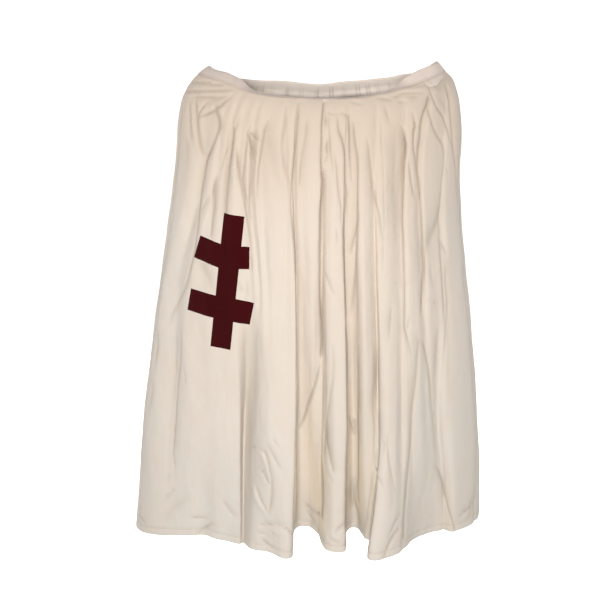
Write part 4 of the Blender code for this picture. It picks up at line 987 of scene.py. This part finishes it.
def fold_light(normals, inset, turn, shares, front):
    """How much warm light each point gets deep in a fold."""
    less = 1.0 - 0.8 * smooth_step(0.78, 0.97, shares)[:, None]
    if not front:
        return 0.4 * smooth_step(14.0, 60.0, inset) * less
    # The walls of the deep folds catch light from each other, their floors less
    degrees = np.degrees(turn)
    middle = smooth_step(-13.0, -7.0, degrees) * (1.0 - smooth_step(19.0, 27.0, degrees))
    deep = smooth_step(14.0, 90.0, inset) * middle * less
    aside = smooth_step(0.25, 0.85, 1.0 - np.abs(normals[..., 1]))
    wide = 1.0 - smooth_step(38.0, 52.0, np.abs(degrees))
    low = 1.0 - 0.6 * smooth_step(0.91, 0.99, shares)[:, None]
    walls = smooth_step(8.0, 50.0, inset) * np.maximum(middle, 0.45 * wide) * aside * low
    return walls + 0.22 * deep * (1.0 - aside)


def panel(front):
    """Outer and inner points of a panel of cloth with its creases, wrinkles and hem, and its painted shade
    and light.
    """
    shares = row_shares(FRONT_GAPS if front else BACK_GAPS)
    places = even_places(front, FRONT_COLUMNS if front else BACK_COLUMNS)
    turn, inset, ends = sheet_values(front, shares, places)
    inset = inset * np.interp(shares, EASE_SHARES, FRONT_EASE if front else BACK_EASE)[:, None]
    base = sheet_points(front, shares, turn, inset, ends)
    creases, painted_shading = crease_inset(FRONT_CREASES if front else BACK_CREASES, turn, base[..., 2])
    edge = np.minimum(1.0, (math.pi / 2 - np.abs(turn)) / math.radians(9.0))
    from_neck = smooth_step(0.0, 0.004 if front else 0.02, shares)[:, None]
    creases = creases * smooth_step(0.0, 1.0, edge) * from_neck
    points = sheet_points(front, shares, turn, inset + creases, ends)
    lift, above, stitch = cloth_lift(points, turn, shares, front)
    points = in_seam(points + grid_normals(points, front) * lift[..., None], front)
    fall = points[1] - points[0]
    fall /= np.linalg.norm(fall, axis=-1, keepdims=True)
    points[0] = points[0] + fall * 0.1

    # The inner layer lies behind the deepest point of the creases round it, except at the two open edges
    thick = CLOTH_THICK + HEM_EXTRA * smooth_step(-0.8, 0.8, HEM_WIDTH + 1.0 - above)
    near = points - flat_edges(grid_normals(points, front)) * thick[..., None]
    sunk = sheet_points(front, shares, turn, inset + deepest(creases, THIN_OUT), ends)
    smooth = flat_edges(grid_normals(base, front))
    behind = in_seam(sunk + smooth * (lift - thick - 0.2)[..., None], front)
    share = smooth_step(3.0, 16.0, above)[..., None] * smooth_step(0.0, 0.012, shares)[:, None, None]
    inner = near + (behind - near) * share

    light = fold_light(smooth, inset, turn, shares, front)
    # Painted shade along the hem's sunken stitch line, and painted light in the folds that fades where
    # painted shade is strong
    painted_shading = np.maximum(painted_shading, 0.35 * stitch)
    return points, inner, painted_shading - light * (1.0 - smooth_step(0.35, 0.9, painted_shading))


# Neckband

# A place of the neck seam: its point, the way down the cloth, its turn, its side and the length up to it
Column = namedtuple("Column", "point fall turn front along")


def neck_columns():
    """Places of the band's columns all round the neck seam."""
    found = []
    for front in (True, False):
        places = np.linspace(0.0, len(panel_lines(front)) + 1, BAND_COLUMNS)
        turn, inset, ends = sheet_values(front, (0.0, 0.006), places)
        rows = sheet_points(front, (0.0, 0.006), turn, inset, ends)
        for i in range(BAND_COLUMNS) if front else range(1, BAND_COLUMNS - 1):
            found.append((rows[0, i], unit(rows[1, i] - rows[0, i]), turn[0, i], front))
    lengths = running_sum([float(np.linalg.norm(b[0] - a[0])) for a, b in zip(found, found[1:])])
    return [Column(*row, along) for row, along in zip(found, lengths.tolist())]


def band_section(column):
    """Section of the folded band at a place of the seam, from its foot outside round to its foot inside."""
    point, fall, turn, front, along = column
    lean = math.radians(band_lean(turn, front))
    back_ways = math.cos(turn) / float(body_size(0.0, "front" if front else "back"))
    sideways = -math.sin(turn) / float(half_width(0.0, turn))
    inward = unit(np.array([sideways, back_ways if front else -back_ways, 0.0]))
    up = inward * math.sin(lean) + np.array([0.0, 0.0, math.cos(lean)])
    under = inward * math.cos(lean) - np.array([0.0, 0.0, math.sin(lean)])
    bump = 0.30 * math.sin(along / 3.9 + 1.7 * math.sin(along / 19.0)) + 0.60 * math.sin(along / 17.0 + 0.8)
    wave = 0.5 * math.sin(along / 27.0 + 1.1) + 0.35 * math.sin(along / 9.5)
    degrees = math.degrees(turn)
    gather = 0.0
    if front:
        bump += sum(size * bell(degrees, at, wide) for at, size, wide in FLAP_FOLDS)
    else:
        gather = sum(size * bell(degrees, at, 0.75) for at, size in GATHERS)
        wave += 0.9 + 2.4 * bell(degrees, -14.0, 9.0) + 1.0 * bell(degrees, 9.0, 8.0)
    width = BAND_WIDTH + wave
    section = []
    for part, out in BAND_OUTSIDE:
        swell = bump * math.sin(math.pi * min(1.0, part + 0.12)) * 0.8
        section.append(point + up * (0.15 + width * part) - under * (out + swell))
    section.append(point + up * (width * 0.96) - under * (-0.1 + 0.4 * bump))
    section.append(point + up * width + under * (BAND_THICK / 2.0 * 0.9 - 0.3 * bump))
    section.append(point + up * (width * 0.97) + under * (BAND_THICK - 0.3 * bump))
    for part, inside, press in BAND_INSIDE:
        depth = BAND_THICK + inside - 0.4 * bump + press * gather
        section.append(point + up * (0.15 + width * part) + under * depth)
    # The edge turned in under the gathers
    inner = unit(np.cross(fall, np.cross(under, fall)))
    for drop, inside in BAND_TURNED:
        section.append(point + fall * drop + inner * (CLOTH_THICK + inside + 0.6 * gather))
    section.append(point + up * 0.15 + under * (CLOTH_THICK + 0.1))
    return section


def band_object(columns, sections, material):
    """The band all round the neck."""
    loops, ring = sections.shape[:2]
    index = np.arange(loops * ring).reshape(loops, ring)
    after = np.roll(index, -1, axis=0)
    faces = np.stack([index, np.roll(index, -1, axis=1), np.roll(after, -1, axis=1), after], axis=-1)
    mesh = mesh_of("neckband_cloth", sections.reshape(-1, 3), faces.reshape(-1, 4).tolist(), face_out=True)

    def gather_shadow(column):
        """How much painted shadow lies on the two sides of a gather that presses through the inside."""
        degrees = math.degrees(column.turn)
        return max(1.6 * size * bell(abs(degrees - at), 0.7, 0.4) for at, size in GATHERS)

    # Painted shade and light of the band: the table's values, painted shade on the front in the middle, and
    # painted shadows beside the gathers inside
    facing = [math.exp(-(column.turn / 0.62) ** 4) if column.front else 0.0 for column in columns]
    inside = [0.0 if column.front else gather_shadow(column) for column in columns]
    band_shading = (
        np.array(BAND_PAINTED_SHADING)[None, :] + 0.3 * np.array(facing)[:, None]
        + 1.3 * np.array(inside)[:, None] * np.array(GATHER_PAINTED_SHADOWS)[None, :]
    )
    lengths = [column.along for column in columns]
    uv = np.stack(np.meshgrid(lengths, np.linspace(0.0, 2.0 * BAND_WIDTH, ring), indexing="ij"), axis=-1)
    add_layers(mesh, np.clip(band_shading, -1.0, 1.0).ravel(), uv.reshape(-1, 2) * MM)
    return object_of(mesh, material)


# Cross

def strip_frame(strip):
    """Start and end of a strip's middle line, and the ways along and across it."""
    start, end = np.array([strip.x_from, strip.z_from], float), np.array([strip.x_to, strip.z_to], float)
    along = unit(end - start)
    return start, end, along, np.array([along[1], -along[0]])


def strip_planes(strip):
    """The four edges of a strip, each a point and the way out."""
    start, end, along, across = strip_frame(strip)
    side = across * strip.half
    return (start + side, across), (start - side, -across), (start, -along), (end, along)


CROSS_PLANES = [strip_planes(strip) for strip in CROSS_STRIPS]


def inner_depth(x, z, edges):
    """How far inside a strip a place lies; below zero is outside."""
    return min(-((x - p[0]) * n[0] + (z - p[1]) * n[1]) for p, n in edges)


def face_depth(face, edges):
    """How far inside a strip the middle of a face lies."""
    middle = face.calc_center_median()
    return inner_depth(middle.x / MM, middle.z / MM, edges)


def cross_object(points, material):
    """Cross of cloth cut from the front's own points, laid on it."""
    builder = bmesh.new()
    xs = [v for strip in CROSS_STRIPS for v in (strip.x_from, strip.x_to)]
    zs = [v for strip in CROSS_STRIPS for v in (strip.z_from, strip.z_to)]
    inside = (
        (points[..., 0] > min(xs) - CROSS_MARGIN) & (points[..., 0] < max(xs) + CROSS_MARGIN)
        & (points[..., 2] > min(zs) - CROSS_MARGIN) & (points[..., 2] < max(zs) + CROSS_MARGIN)
    )
    verts = {}
    for r, c in zip(*np.nonzero(inside)):
        verts[r, c] = builder.verts.new(points[r, c] * MM)
    for r, c in list(verts):
        ring = ((r, c), (r + 1, c), (r + 1, c + 1), (r, c + 1))
        if all(key in verts for key in ring):
            builder.faces.new([verts[key] for key in ring])
    bmesh.ops.triangulate(builder, faces=builder.faces)
    for edges in CROSS_PLANES:
        for p, n in edges:
            near = [f for f in builder.faces if face_depth(f, edges) > CUT_REACH]
            geometry = near + list({e for f in near for e in f.edges} | {v for f in near for v in f.verts})
            bmesh.ops.bisect_plane(
                builder, geom=geometry, dist=1e-6,
                plane_co=(p[0] * MM, 0.0, p[1] * MM), plane_no=(n[0], 0.0, n[1]),
            )
    outside = [f for f in builder.faces if max(face_depth(f, edges) for edges in CROSS_PLANES) < 0.0]
    bmesh.ops.delete(builder, geom=outside, context="FACES")
    bmesh.ops.delete(builder, geom=[v for v in builder.verts if not v.link_faces], context="VERTS")
    bmesh.ops.triangulate(builder, faces=builder.faces)
    builder.normal_update()
    if sum(f.normal.y for f in builder.faces) > 0.0:
        bmesh.ops.reverse_faces(builder, faces=builder.faces)
        builder.normal_update()

    # The under side lies just off the front, and the upper side is thinner at the edges and along the seam
    under = list(builder.faces)
    outward = {v: v.normal.copy() for v in builder.verts}
    depth = {v: max(inner_depth(v.co.x / MM, v.co.z / MM, e) for e in CROSS_PLANES) for v in builder.verts}
    for v, n in outward.items():
        v.co += n * (CROSS_LIFT * MM)
    layer = builder.loops.layers.uv.new("cloth")
    copies = {}
    for v in list(outward):
        rise = CROSS_THICK * (0.25 + 0.75 * (1.0 - math.exp(-max(0.0, depth[v]) / 1.2)))
        copies[v] = builder.verts.new(v.co + outward[v] * ((rise - 0.35 * bell(depth[v], 3.2, 1.1)) * MM))
    rim = [e for e in builder.edges if e.is_boundary]
    for face in under:
        builder.faces.new([copies[v] for v in face.verts])
    for edge in rim:
        a, b = edge.verts
        builder.faces.new((a, b, copies[b], copies[a]))
    for face in under:
        face.normal_flip()
    bmesh.ops.recalc_face_normals(builder, faces=builder.faces)
    for face in builder.faces:
        for loop in face.loops:
            loop[layer].uv = (loop.vert.co.x, loop.vert.co.z)
    mesh = bpy.data.meshes.new("cross_cloth")
    builder.to_mesh(mesh)
    builder.free()
    return object_of(mesh, material)


# Stitches

def stitch_object(name, marks, sizes, material):
    """Short threads: each mark is a middle, a direction and the way out of the cloth."""
    length, width, height = sizes
    verts, faces = [], []
    for middle, along, out in marks:
        aside = unit(np.cross(along, out))
        start = len(verts)
        verts += [
            middle - along * length / 2.0 - out * 0.15,
            middle + aside * width / 2.0,
            middle + out * height,
            middle - aside * width / 2.0,
            middle - out * 0.2,
            middle + along * length / 2.0 - out * 0.15,
        ]
        for k in range(4):
            a, b = start + 1 + k, start + 1 + (k + 1) % 4
            faces += [(start, a, b), (start + 5, b, a)]
    return object_of(mesh_of(name, verts, faces, face_out=True), material)


def row_marks(line, outward, spacing, start):
    """Marks at even spacing, a little unsteady, along a line of points."""
    along = running_sum(np.linalg.norm(np.diff(line, axis=0), axis=-1))
    marks = []
    for k, place in enumerate(np.arange(start, along[-1] - start, spacing)):
        place = place + 0.35 * math.sin(k * 1.7) + 0.25 * math.sin(k * 0.61)
        spot, before, after, out = (
            np.array([np.interp(at, along, values[:, axis]) for axis in range(3)])
            for at, values in ((place, line), (place - 1.0, line), (place + 1.0, line), (place, outward))
        )
        marks.append((spot, unit(after - before), unit(out)))
    return marks


def hem_marks(points, front):
    """Marks along the upper edge of the hem."""
    above = (points[..., 2] - points[-1, :, 2][None, :]).mean(axis=1)
    row = int(np.argmin(np.abs(above - HEM_WIDTH)))
    return row_marks(points[row], grid_normals(points, front)[row], HEM_SPACING, 4.0)


def band_marks(sections):
    """Marks along the band's outside, just above its foot."""
    line = sections[:, 1] * 0.35 + sections[:, 2] * 0.65
    outward = sections[:, 1] - sections[:, -1]
    line, outward = (np.concatenate([values, values[:1]]) for values in (line, outward))
    return row_marks(line, outward, BAND_SPACING, 0.5)


def cross_marks(piece):
    """Marks just inside the edges of the cross, where no other strip covers them."""
    mesh = piece.data
    tree = BVHTree.FromPolygons([v.co for v in mesh.vertices], [p.vertices[:] for p in mesh.polygons])
    marks = []
    for strip, edges in zip(CROSS_STRIPS, CROSS_PLANES):
        start, end, along, across = strip_frame(strip)
        a, b = start + along * CROSS_INSET, end - along * CROSS_INSET
        side = across * (float(strip.half) - CROSS_INSET)
        lines = ((a + side, b + side), (a - side, b - side), (a - side, a + side), (b - side, b + side))
        for first, last in lines:
            span = float(np.linalg.norm(last - first))
            for place in np.arange(1.5, span - 1.0, CROSS_SPACING):
                spot = first + (last - first) * place / span
                others = (other for other in CROSS_PLANES if other is not edges)
                if any(inner_depth(spot[0], spot[1], other) > CROSS_INSET - 0.5 for other in others):
                    continue
                before = Vector((spot[0] * MM, -0.5, spot[1] * MM))
                hit, out, _, _ = tree.ray_cast(before, Vector((0.0, 1.0, 0.0)))
                if hit is None:
                    continue
                way = np.array([last[0] - first[0], 0.0, last[1] - first[1]])
                out = np.array(out)
                marks.append((np.array(hit) / MM, unit(way - out * (way @ out)), out))
    return marks


# Materials

def node(tree, kind, inputs=None, **settings):
    """A shader node with its settings; each of its inputs is given a value or linked to an output."""
    made = tree.nodes.new(kind)
    for name, value in settings.items():
        setattr(made, name, value)
    for name, value in (inputs or {}).items():
        if isinstance(value, bpy.types.NodeSocket):
            tree.links.new(value, made.inputs[name])
        else:
            made.inputs[name].default_value = value
    return made


def new_material(name):
    """A material, its node tree and its shader."""
    material = bpy.data.materials.new(name)
    material.use_nodes = True
    return material, material.node_tree, material.node_tree.nodes["Principled BSDF"]


def scaled(colour, factor):
    """A colour made darker or lighter."""
    return tuple(min(1.0, c * factor) for c in colour)


def cloth_material(
    name, colour, cool, shade_colour, painted_light_colour, shade_share, roughness, sheen, mottle, weave_bump, yoke=0.0,
):
    """Plain-woven cloth: threads both ways, slubs, a mottled dye, and painted shade and light."""
    material, tree, shader = new_material(name)
    link = tree.links.new
    uv = node(tree, "ShaderNodeUVMap", uv_map="cloth").outputs["UV"]
    place = node(tree, "ShaderNodeTexCoord").outputs["Object"]

    def noise_of(vector, scale, stretch, detail=2.0):
        """Noise that is stretched along the axes."""
        mapping = node(tree, "ShaderNodeMapping", {"Vector": vector, "Scale": stretch})
        inputs = {"Vector": mapping.outputs["Vector"], "Scale": scale, "Detail": detail}
        return node(tree, "ShaderNodeTexNoise", inputs).outputs["Fac"]

    def maths(operation, a, b):
        """Result of a sum on two values."""
        return node(tree, "ShaderNodeMath", {0: a, 1: b}, operation=operation).outputs["Value"]

    def spread(value, low, high):
        """Zero at low and one at high."""
        limits = {"Value": value, "From Min": low, "From Max": high}
        return node(tree, "ShaderNodeMapRange", limits).outputs["Result"]

    def part(value, low, high, size):
        """Zero at low and the size at high."""
        return maths("MULTIPLY", spread(value, low, high), size)

    def mix(factor, a, b):
        """Colour on the way from a to b."""
        made = node(tree, "ShaderNodeMix", {"Factor": factor}, data_type="RGBA")
        for letter, value in (("A", a), ("B", b)):
            socket = next(s for s in made.inputs if s.name == letter and s.type == "RGBA")
            if isinstance(value, tuple):
                socket.default_value = (*value, 1.0)
            else:
                link(value, socket)
        return next(s for s in made.outputs if s.type == "RGBA")

    # Threads both ways, and slubs of thicker yarn along them
    inputs = {"Vector": uv, "Scale": WAVE_SCALE, "Distortion": 0.6, "Detail": 1.0, "Detail Scale": 0.6}
    across, down = (
        node(tree, "ShaderNodeTexWave", inputs, wave_type="BANDS", bands_direction=way, wave_profile="SIN")
        for way in ("X", "Y")
    )
    weave = maths("MAXIMUM", across.outputs["Fac"], down.outputs["Fac"])
    slub_across = noise_of(uv, 1.0, (28.0, 900.0, 1.0))
    slub_down = noise_of(uv, 1.0, (900.0, 22.0, 1.0))
    slubs = maths("ADD", maths("MULTIPLY", slub_across, 0.5), maths("MULTIPLY", slub_down, 0.5))

    # The dye is mottled, the colour turns cooler low down and at the sides, and painted shade darkens the
    # top
    darker, lighter = scaled(colour, 1.0 - mottle), scaled(colour, 1.0 + mottle)
    tint = mix(spread(noise_of(place, 9.0, (1.0, 1.0, 0.6), 4.0), 0.32, 0.68), darker, lighter)
    position = node(tree, "ShaderNodeSeparateXYZ", {"Vector": place})
    lower = part(position.outputs["Z"], -0.16, -0.62, 0.72)
    beside = part(maths("ABSOLUTE", position.outputs["X"], 0.0), 0.12, 0.25, 0.55)
    patches = part(noise_of(place, 3.4, (1.0, 1.0, 0.5), 2.0), 0.38, 0.62, 0.28)
    tint = mix(maths("ADD", maths("MAXIMUM", lower, beside), patches), tint, cool)
    # Painted shade that makes the cloth darker towards the top
    if yoke:
        shaded_top = tuple(c * k for c, k in zip(colour, (0.86, 0.83, 0.79)))
        tint = mix(part(position.outputs["Z"], -0.25, -0.08, yoke), tint, shaded_top)
    tint = mix(part(noise_of(place, 42.0, (1.0, 1.0, 0.7), 3.0), 0.40, 0.75, 0.35), tint, darker)
    tint = mix(part(slubs, 0.50, 0.72, 0.30), tint, darker)
    between = maths("MULTIPLY", maths("SUBTRACT", 1.0, weave), 0.35)
    tint = mix(between, tint, scaled(colour, 1.0 - 1.6 * mottle))

    # Painted shade along the creases, and painted warm light on the walls of the folds
    painted_shading = node(tree, "ShaderNodeAttribute", attribute_name="painted_shading", attribute_type="GEOMETRY").outputs["Fac"]
    tint = mix(part(painted_shading, 0.0, 1.0, shade_share), tint, shade_colour)
    tint = mix(part(painted_shading, 0.0, -1.0, 0.95), tint, painted_light_colour)
    link(tint, shader.inputs["Base Color"])

    relief = maths("ADD", maths("MULTIPLY", weave, 0.6), maths("MULTIPLY", slubs, 0.8))
    fine = node(tree, "ShaderNodeBump", {"Strength": weave_bump, "Distance": 0.00035, "Height": relief})
    crumple = noise_of(place, 95.0, (1.0, 1.0, 0.55), 3.0)
    bump = node(
        tree, "ShaderNodeBump",
        {"Strength": 0.45, "Distance": 0.0016, "Height": crumple, "Normal": fine.outputs["Normal"]},
    )
    link(bump.outputs["Normal"], shader.inputs["Normal"])
    limits = {"Value": slubs, "To Min": roughness - 0.06, "To Max": min(1.0, roughness + 0.06)}
    link(node(tree, "ShaderNodeMapRange", limits).outputs["Result"], shader.inputs["Roughness"])
    shader.inputs["Sheen Weight"].default_value = sheen
    shader.inputs["Sheen Roughness"].default_value = 0.5
    shader.inputs["Specular IOR Level"].default_value = 0.06
    return material


def thread_material(name, colour, roughness):
    """Sewing thread with a little uneven dye and twist."""
    material, tree, shader = new_material(name)
    place = node(tree, "ShaderNodeTexCoord").outputs["Object"]
    dye = node(tree, "ShaderNodeTexNoise", {"Vector": place, "Scale": 160.0})
    ramp = node(tree, "ShaderNodeValToRGB", {"Fac": dye.outputs["Fac"]})
    for element, factor in zip(ramp.color_ramp.elements, (0.85, 1.12)):
        element.color = (*scaled(colour, factor), 1.0)
    tree.links.new(ramp.outputs["Color"], shader.inputs["Base Color"])
    inputs = {"Vector": place, "Scale": 900.0}
    twist = node(tree, "ShaderNodeTexWave", inputs, wave_type="BANDS", bands_direction="DIAGONAL")
    inputs = {"Strength": 0.4, "Distance": 0.0002, "Height": twist.outputs["Fac"]}
    bump = node(tree, "ShaderNodeBump", inputs)
    tree.links.new(bump.outputs["Normal"], shader.inputs["Normal"])
    shader.inputs["Roughness"].default_value = roughness
    shader.inputs["Specular IOR Level"].default_value = 0.2
    return material


cotton = cloth_material(
    "cotton_weave", (0.710, 0.590, 0.485), (0.650, 0.612, 0.550), (0.40, 0.33, 0.25), (1.0, 0.89, 0.70),
    0.62, 0.9, 0.15, 0.05, 0.5, 0.6,
)
band_cotton = cloth_material(
    "band_weave", (0.80, 0.685, 0.60), (0.78, 0.69, 0.62), (0.50, 0.375, 0.32), (1.0, 0.90, 0.80),
    0.85, 0.9, 0.15, 0.08, 0.6,
)
maroon = cloth_material(
    "maroon_weave", (0.050, 0.0010, 0.0020), (0.042, 0.0014, 0.0024), (0.03, 0.001, 0.0015),
    (0.050, 0.0010, 0.0020), 0.55, 0.85, 0.02, 0.30, 0.6,
)
cotton_thread = thread_material("cotton_thread", (0.62, 0.53, 0.43), 0.8)
maroon_thread = thread_material("maroon_thread", (0.035, 0.004, 0.005), 0.7)
band_thread = thread_material("band_thread", (0.46, 0.34, 0.29), 0.8)


# Pieces

def in_place(piece, node_name):
    """Puts a piece in the place of a solid."""
    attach(piece, "root")
    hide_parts(node_name)


front_points, front_inner, front_shading = panel(True)
front_piece = shell_object(
    "front_cloth", front_points, front_inner, front_shading, cotton, cloth_lengths(front_points),
)
in_place(front_piece, "front")

back_points, back_inner, back_shading = panel(False)
back_piece = shell_object(
    "back_cloth", back_points[:, ::-1], back_inner[:, ::-1], back_shading[:, ::-1], cotton,
    cloth_lengths(back_points[:, ::-1]),
)
in_place(back_piece, "back")

neck = neck_columns()
neck_sections = np.array([band_section(column) for column in neck])
band_piece = band_object(neck, neck_sections, band_cotton)
in_place(band_piece, "neckband")

cross_piece = cross_object(front_points, maroon)
in_place(cross_piece, "cross")

seams = hem_marks(front_points, True) + hem_marks(back_points, False)
sewn = [
    stitch_object("hem_stitches", seams, HEM_THREAD, cotton_thread),
    stitch_object("cross_stitches", cross_marks(cross_piece), CROSS_THREAD, maroon_thread),
    stitch_object("band_stitches", band_marks(neck_sections), BAND_THREAD, band_thread),
]
for piece, slot in zip(sewn, ("unbleached_cotton", "maroon_cloth", "band_cotton")):
    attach(piece, "root")


# Floor, light and camera

def floor_object():
    """Plain white round floor that sweeps up far off, alike on all sides, and casts no light on the part."""
    profile = [(0.0, 0.0), (FLOOR_RADIUS, 0.0)]
    for angle in np.linspace(0.0, math.pi / 2, 12)[1:]:
        profile.append((FLOOR_RADIUS + SWEEP * math.sin(angle), SWEEP - SWEEP * math.cos(angle)))
    profile.append((FLOOR_RADIUS + SWEEP, WALL_HEIGHT))
    builder = bmesh.new()
    points = [builder.verts.new((radius, 0.0, FLOOR_Z + height)) for radius, height in profile]
    edges = [builder.edges.new(pair) for pair in zip(points, points[1:])]
    bmesh.ops.spin(
        builder, geom=points + edges, axis=(0.0, 0.0, 1.0), cent=(0.0, 0.0, 0.0), angle=math.tau, steps=72,
    )
    bmesh.ops.remove_doubles(builder, verts=builder.verts[:], dist=0.001)
    mesh = bpy.data.meshes.new("studio_floor")
    builder.to_mesh(mesh)
    builder.free()
    material, _, shader = new_material("studio_white")
    shader.inputs["Base Color"].default_value = (0.9, 0.9, 0.9, 1.0)
    shader.inputs["Roughness"].default_value = 0.9
    shader.inputs["Emission Color"].default_value = (1.0, 1.0, 1.0, 1.0)
    shader.inputs["Emission Strength"].default_value = 0.75
    thing = object_of(mesh, material)
    thing.visible_diffuse = False
    thing.visible_shadow = False
    return thing


floor_object()

world = bpy.data.worlds.new("studio")
world.use_nodes = True
world.node_tree.nodes["Background"].inputs["Color"].default_value = (1.0, 1.0, 1.0, 1.0)
world.node_tree.nodes["Background"].inputs["Strength"].default_value = 0.47
bpy.context.scene.world = world


def area_light(name, place, target, size, power, spread=180.0):
    """Soft lamp in metres and watts that faces a target; its spread is in degrees."""
    data = bpy.data.lights.new(name, "AREA")
    data.shape = "RECTANGLE"
    data.size, data.size_y = size
    data.energy = power
    data.spread = math.radians(spread)
    lamp = bpy.data.objects.new(name, data)
    lamp.location = place
    lamp.rotation_euler = (Vector(target) - Vector(place)).to_track_quat("-Z", "Y").to_euler()
    bpy.context.scene.collection.objects.link(lamp)


area_light("key", (-0.10, -1.85, 0.07), (0.0, 0.0, -0.42), (0.30, 0.30), 20.0)
area_light("low_fill", (-0.10, -1.85, -0.62), (0.0, 0.0, -0.46), (0.35, 0.35), 8.0)
area_light("neck", (0.03, -1.0, 0.25), (0.03, 0.15, 0.012), (0.24, 0.02), 0.04, 9.0)
area_light("rear", (0.30, 2.3, 0.35), (0.0, 0.0, -0.42), (0.4, 0.4), 29.0)
area_light("left", (-2.6, 1.0, 0.6), (-0.1, 0.0, -0.42), (0.9, 0.9), 17.0)
area_light("right", (2.6, 1.0, 0.6), (0.1, 0.0, -0.42), (0.9, 0.9), 18.0)

camera_data = bpy.data.cameras.new("camera")
camera_data.sensor_width = FILM_WIDTH
camera_data.lens = FOCAL_LENGTH / PICTURE_SIZE * FILM_WIDTH
camera_data.clip_end = 60.0
camera = bpy.data.objects.new("camera", camera_data)
camera.location = CAMERA_PLACE
camera.rotation_euler = (math.radians(90.0 - CAMERA_PITCH), 0.0, 0.0)
bpy.context.scene.collection.objects.link(camera)
bpy.context.scene.camera = camera
bpy.context.scene.view_settings.view_transform = "Standard"

bpy.context.view_layer.update()
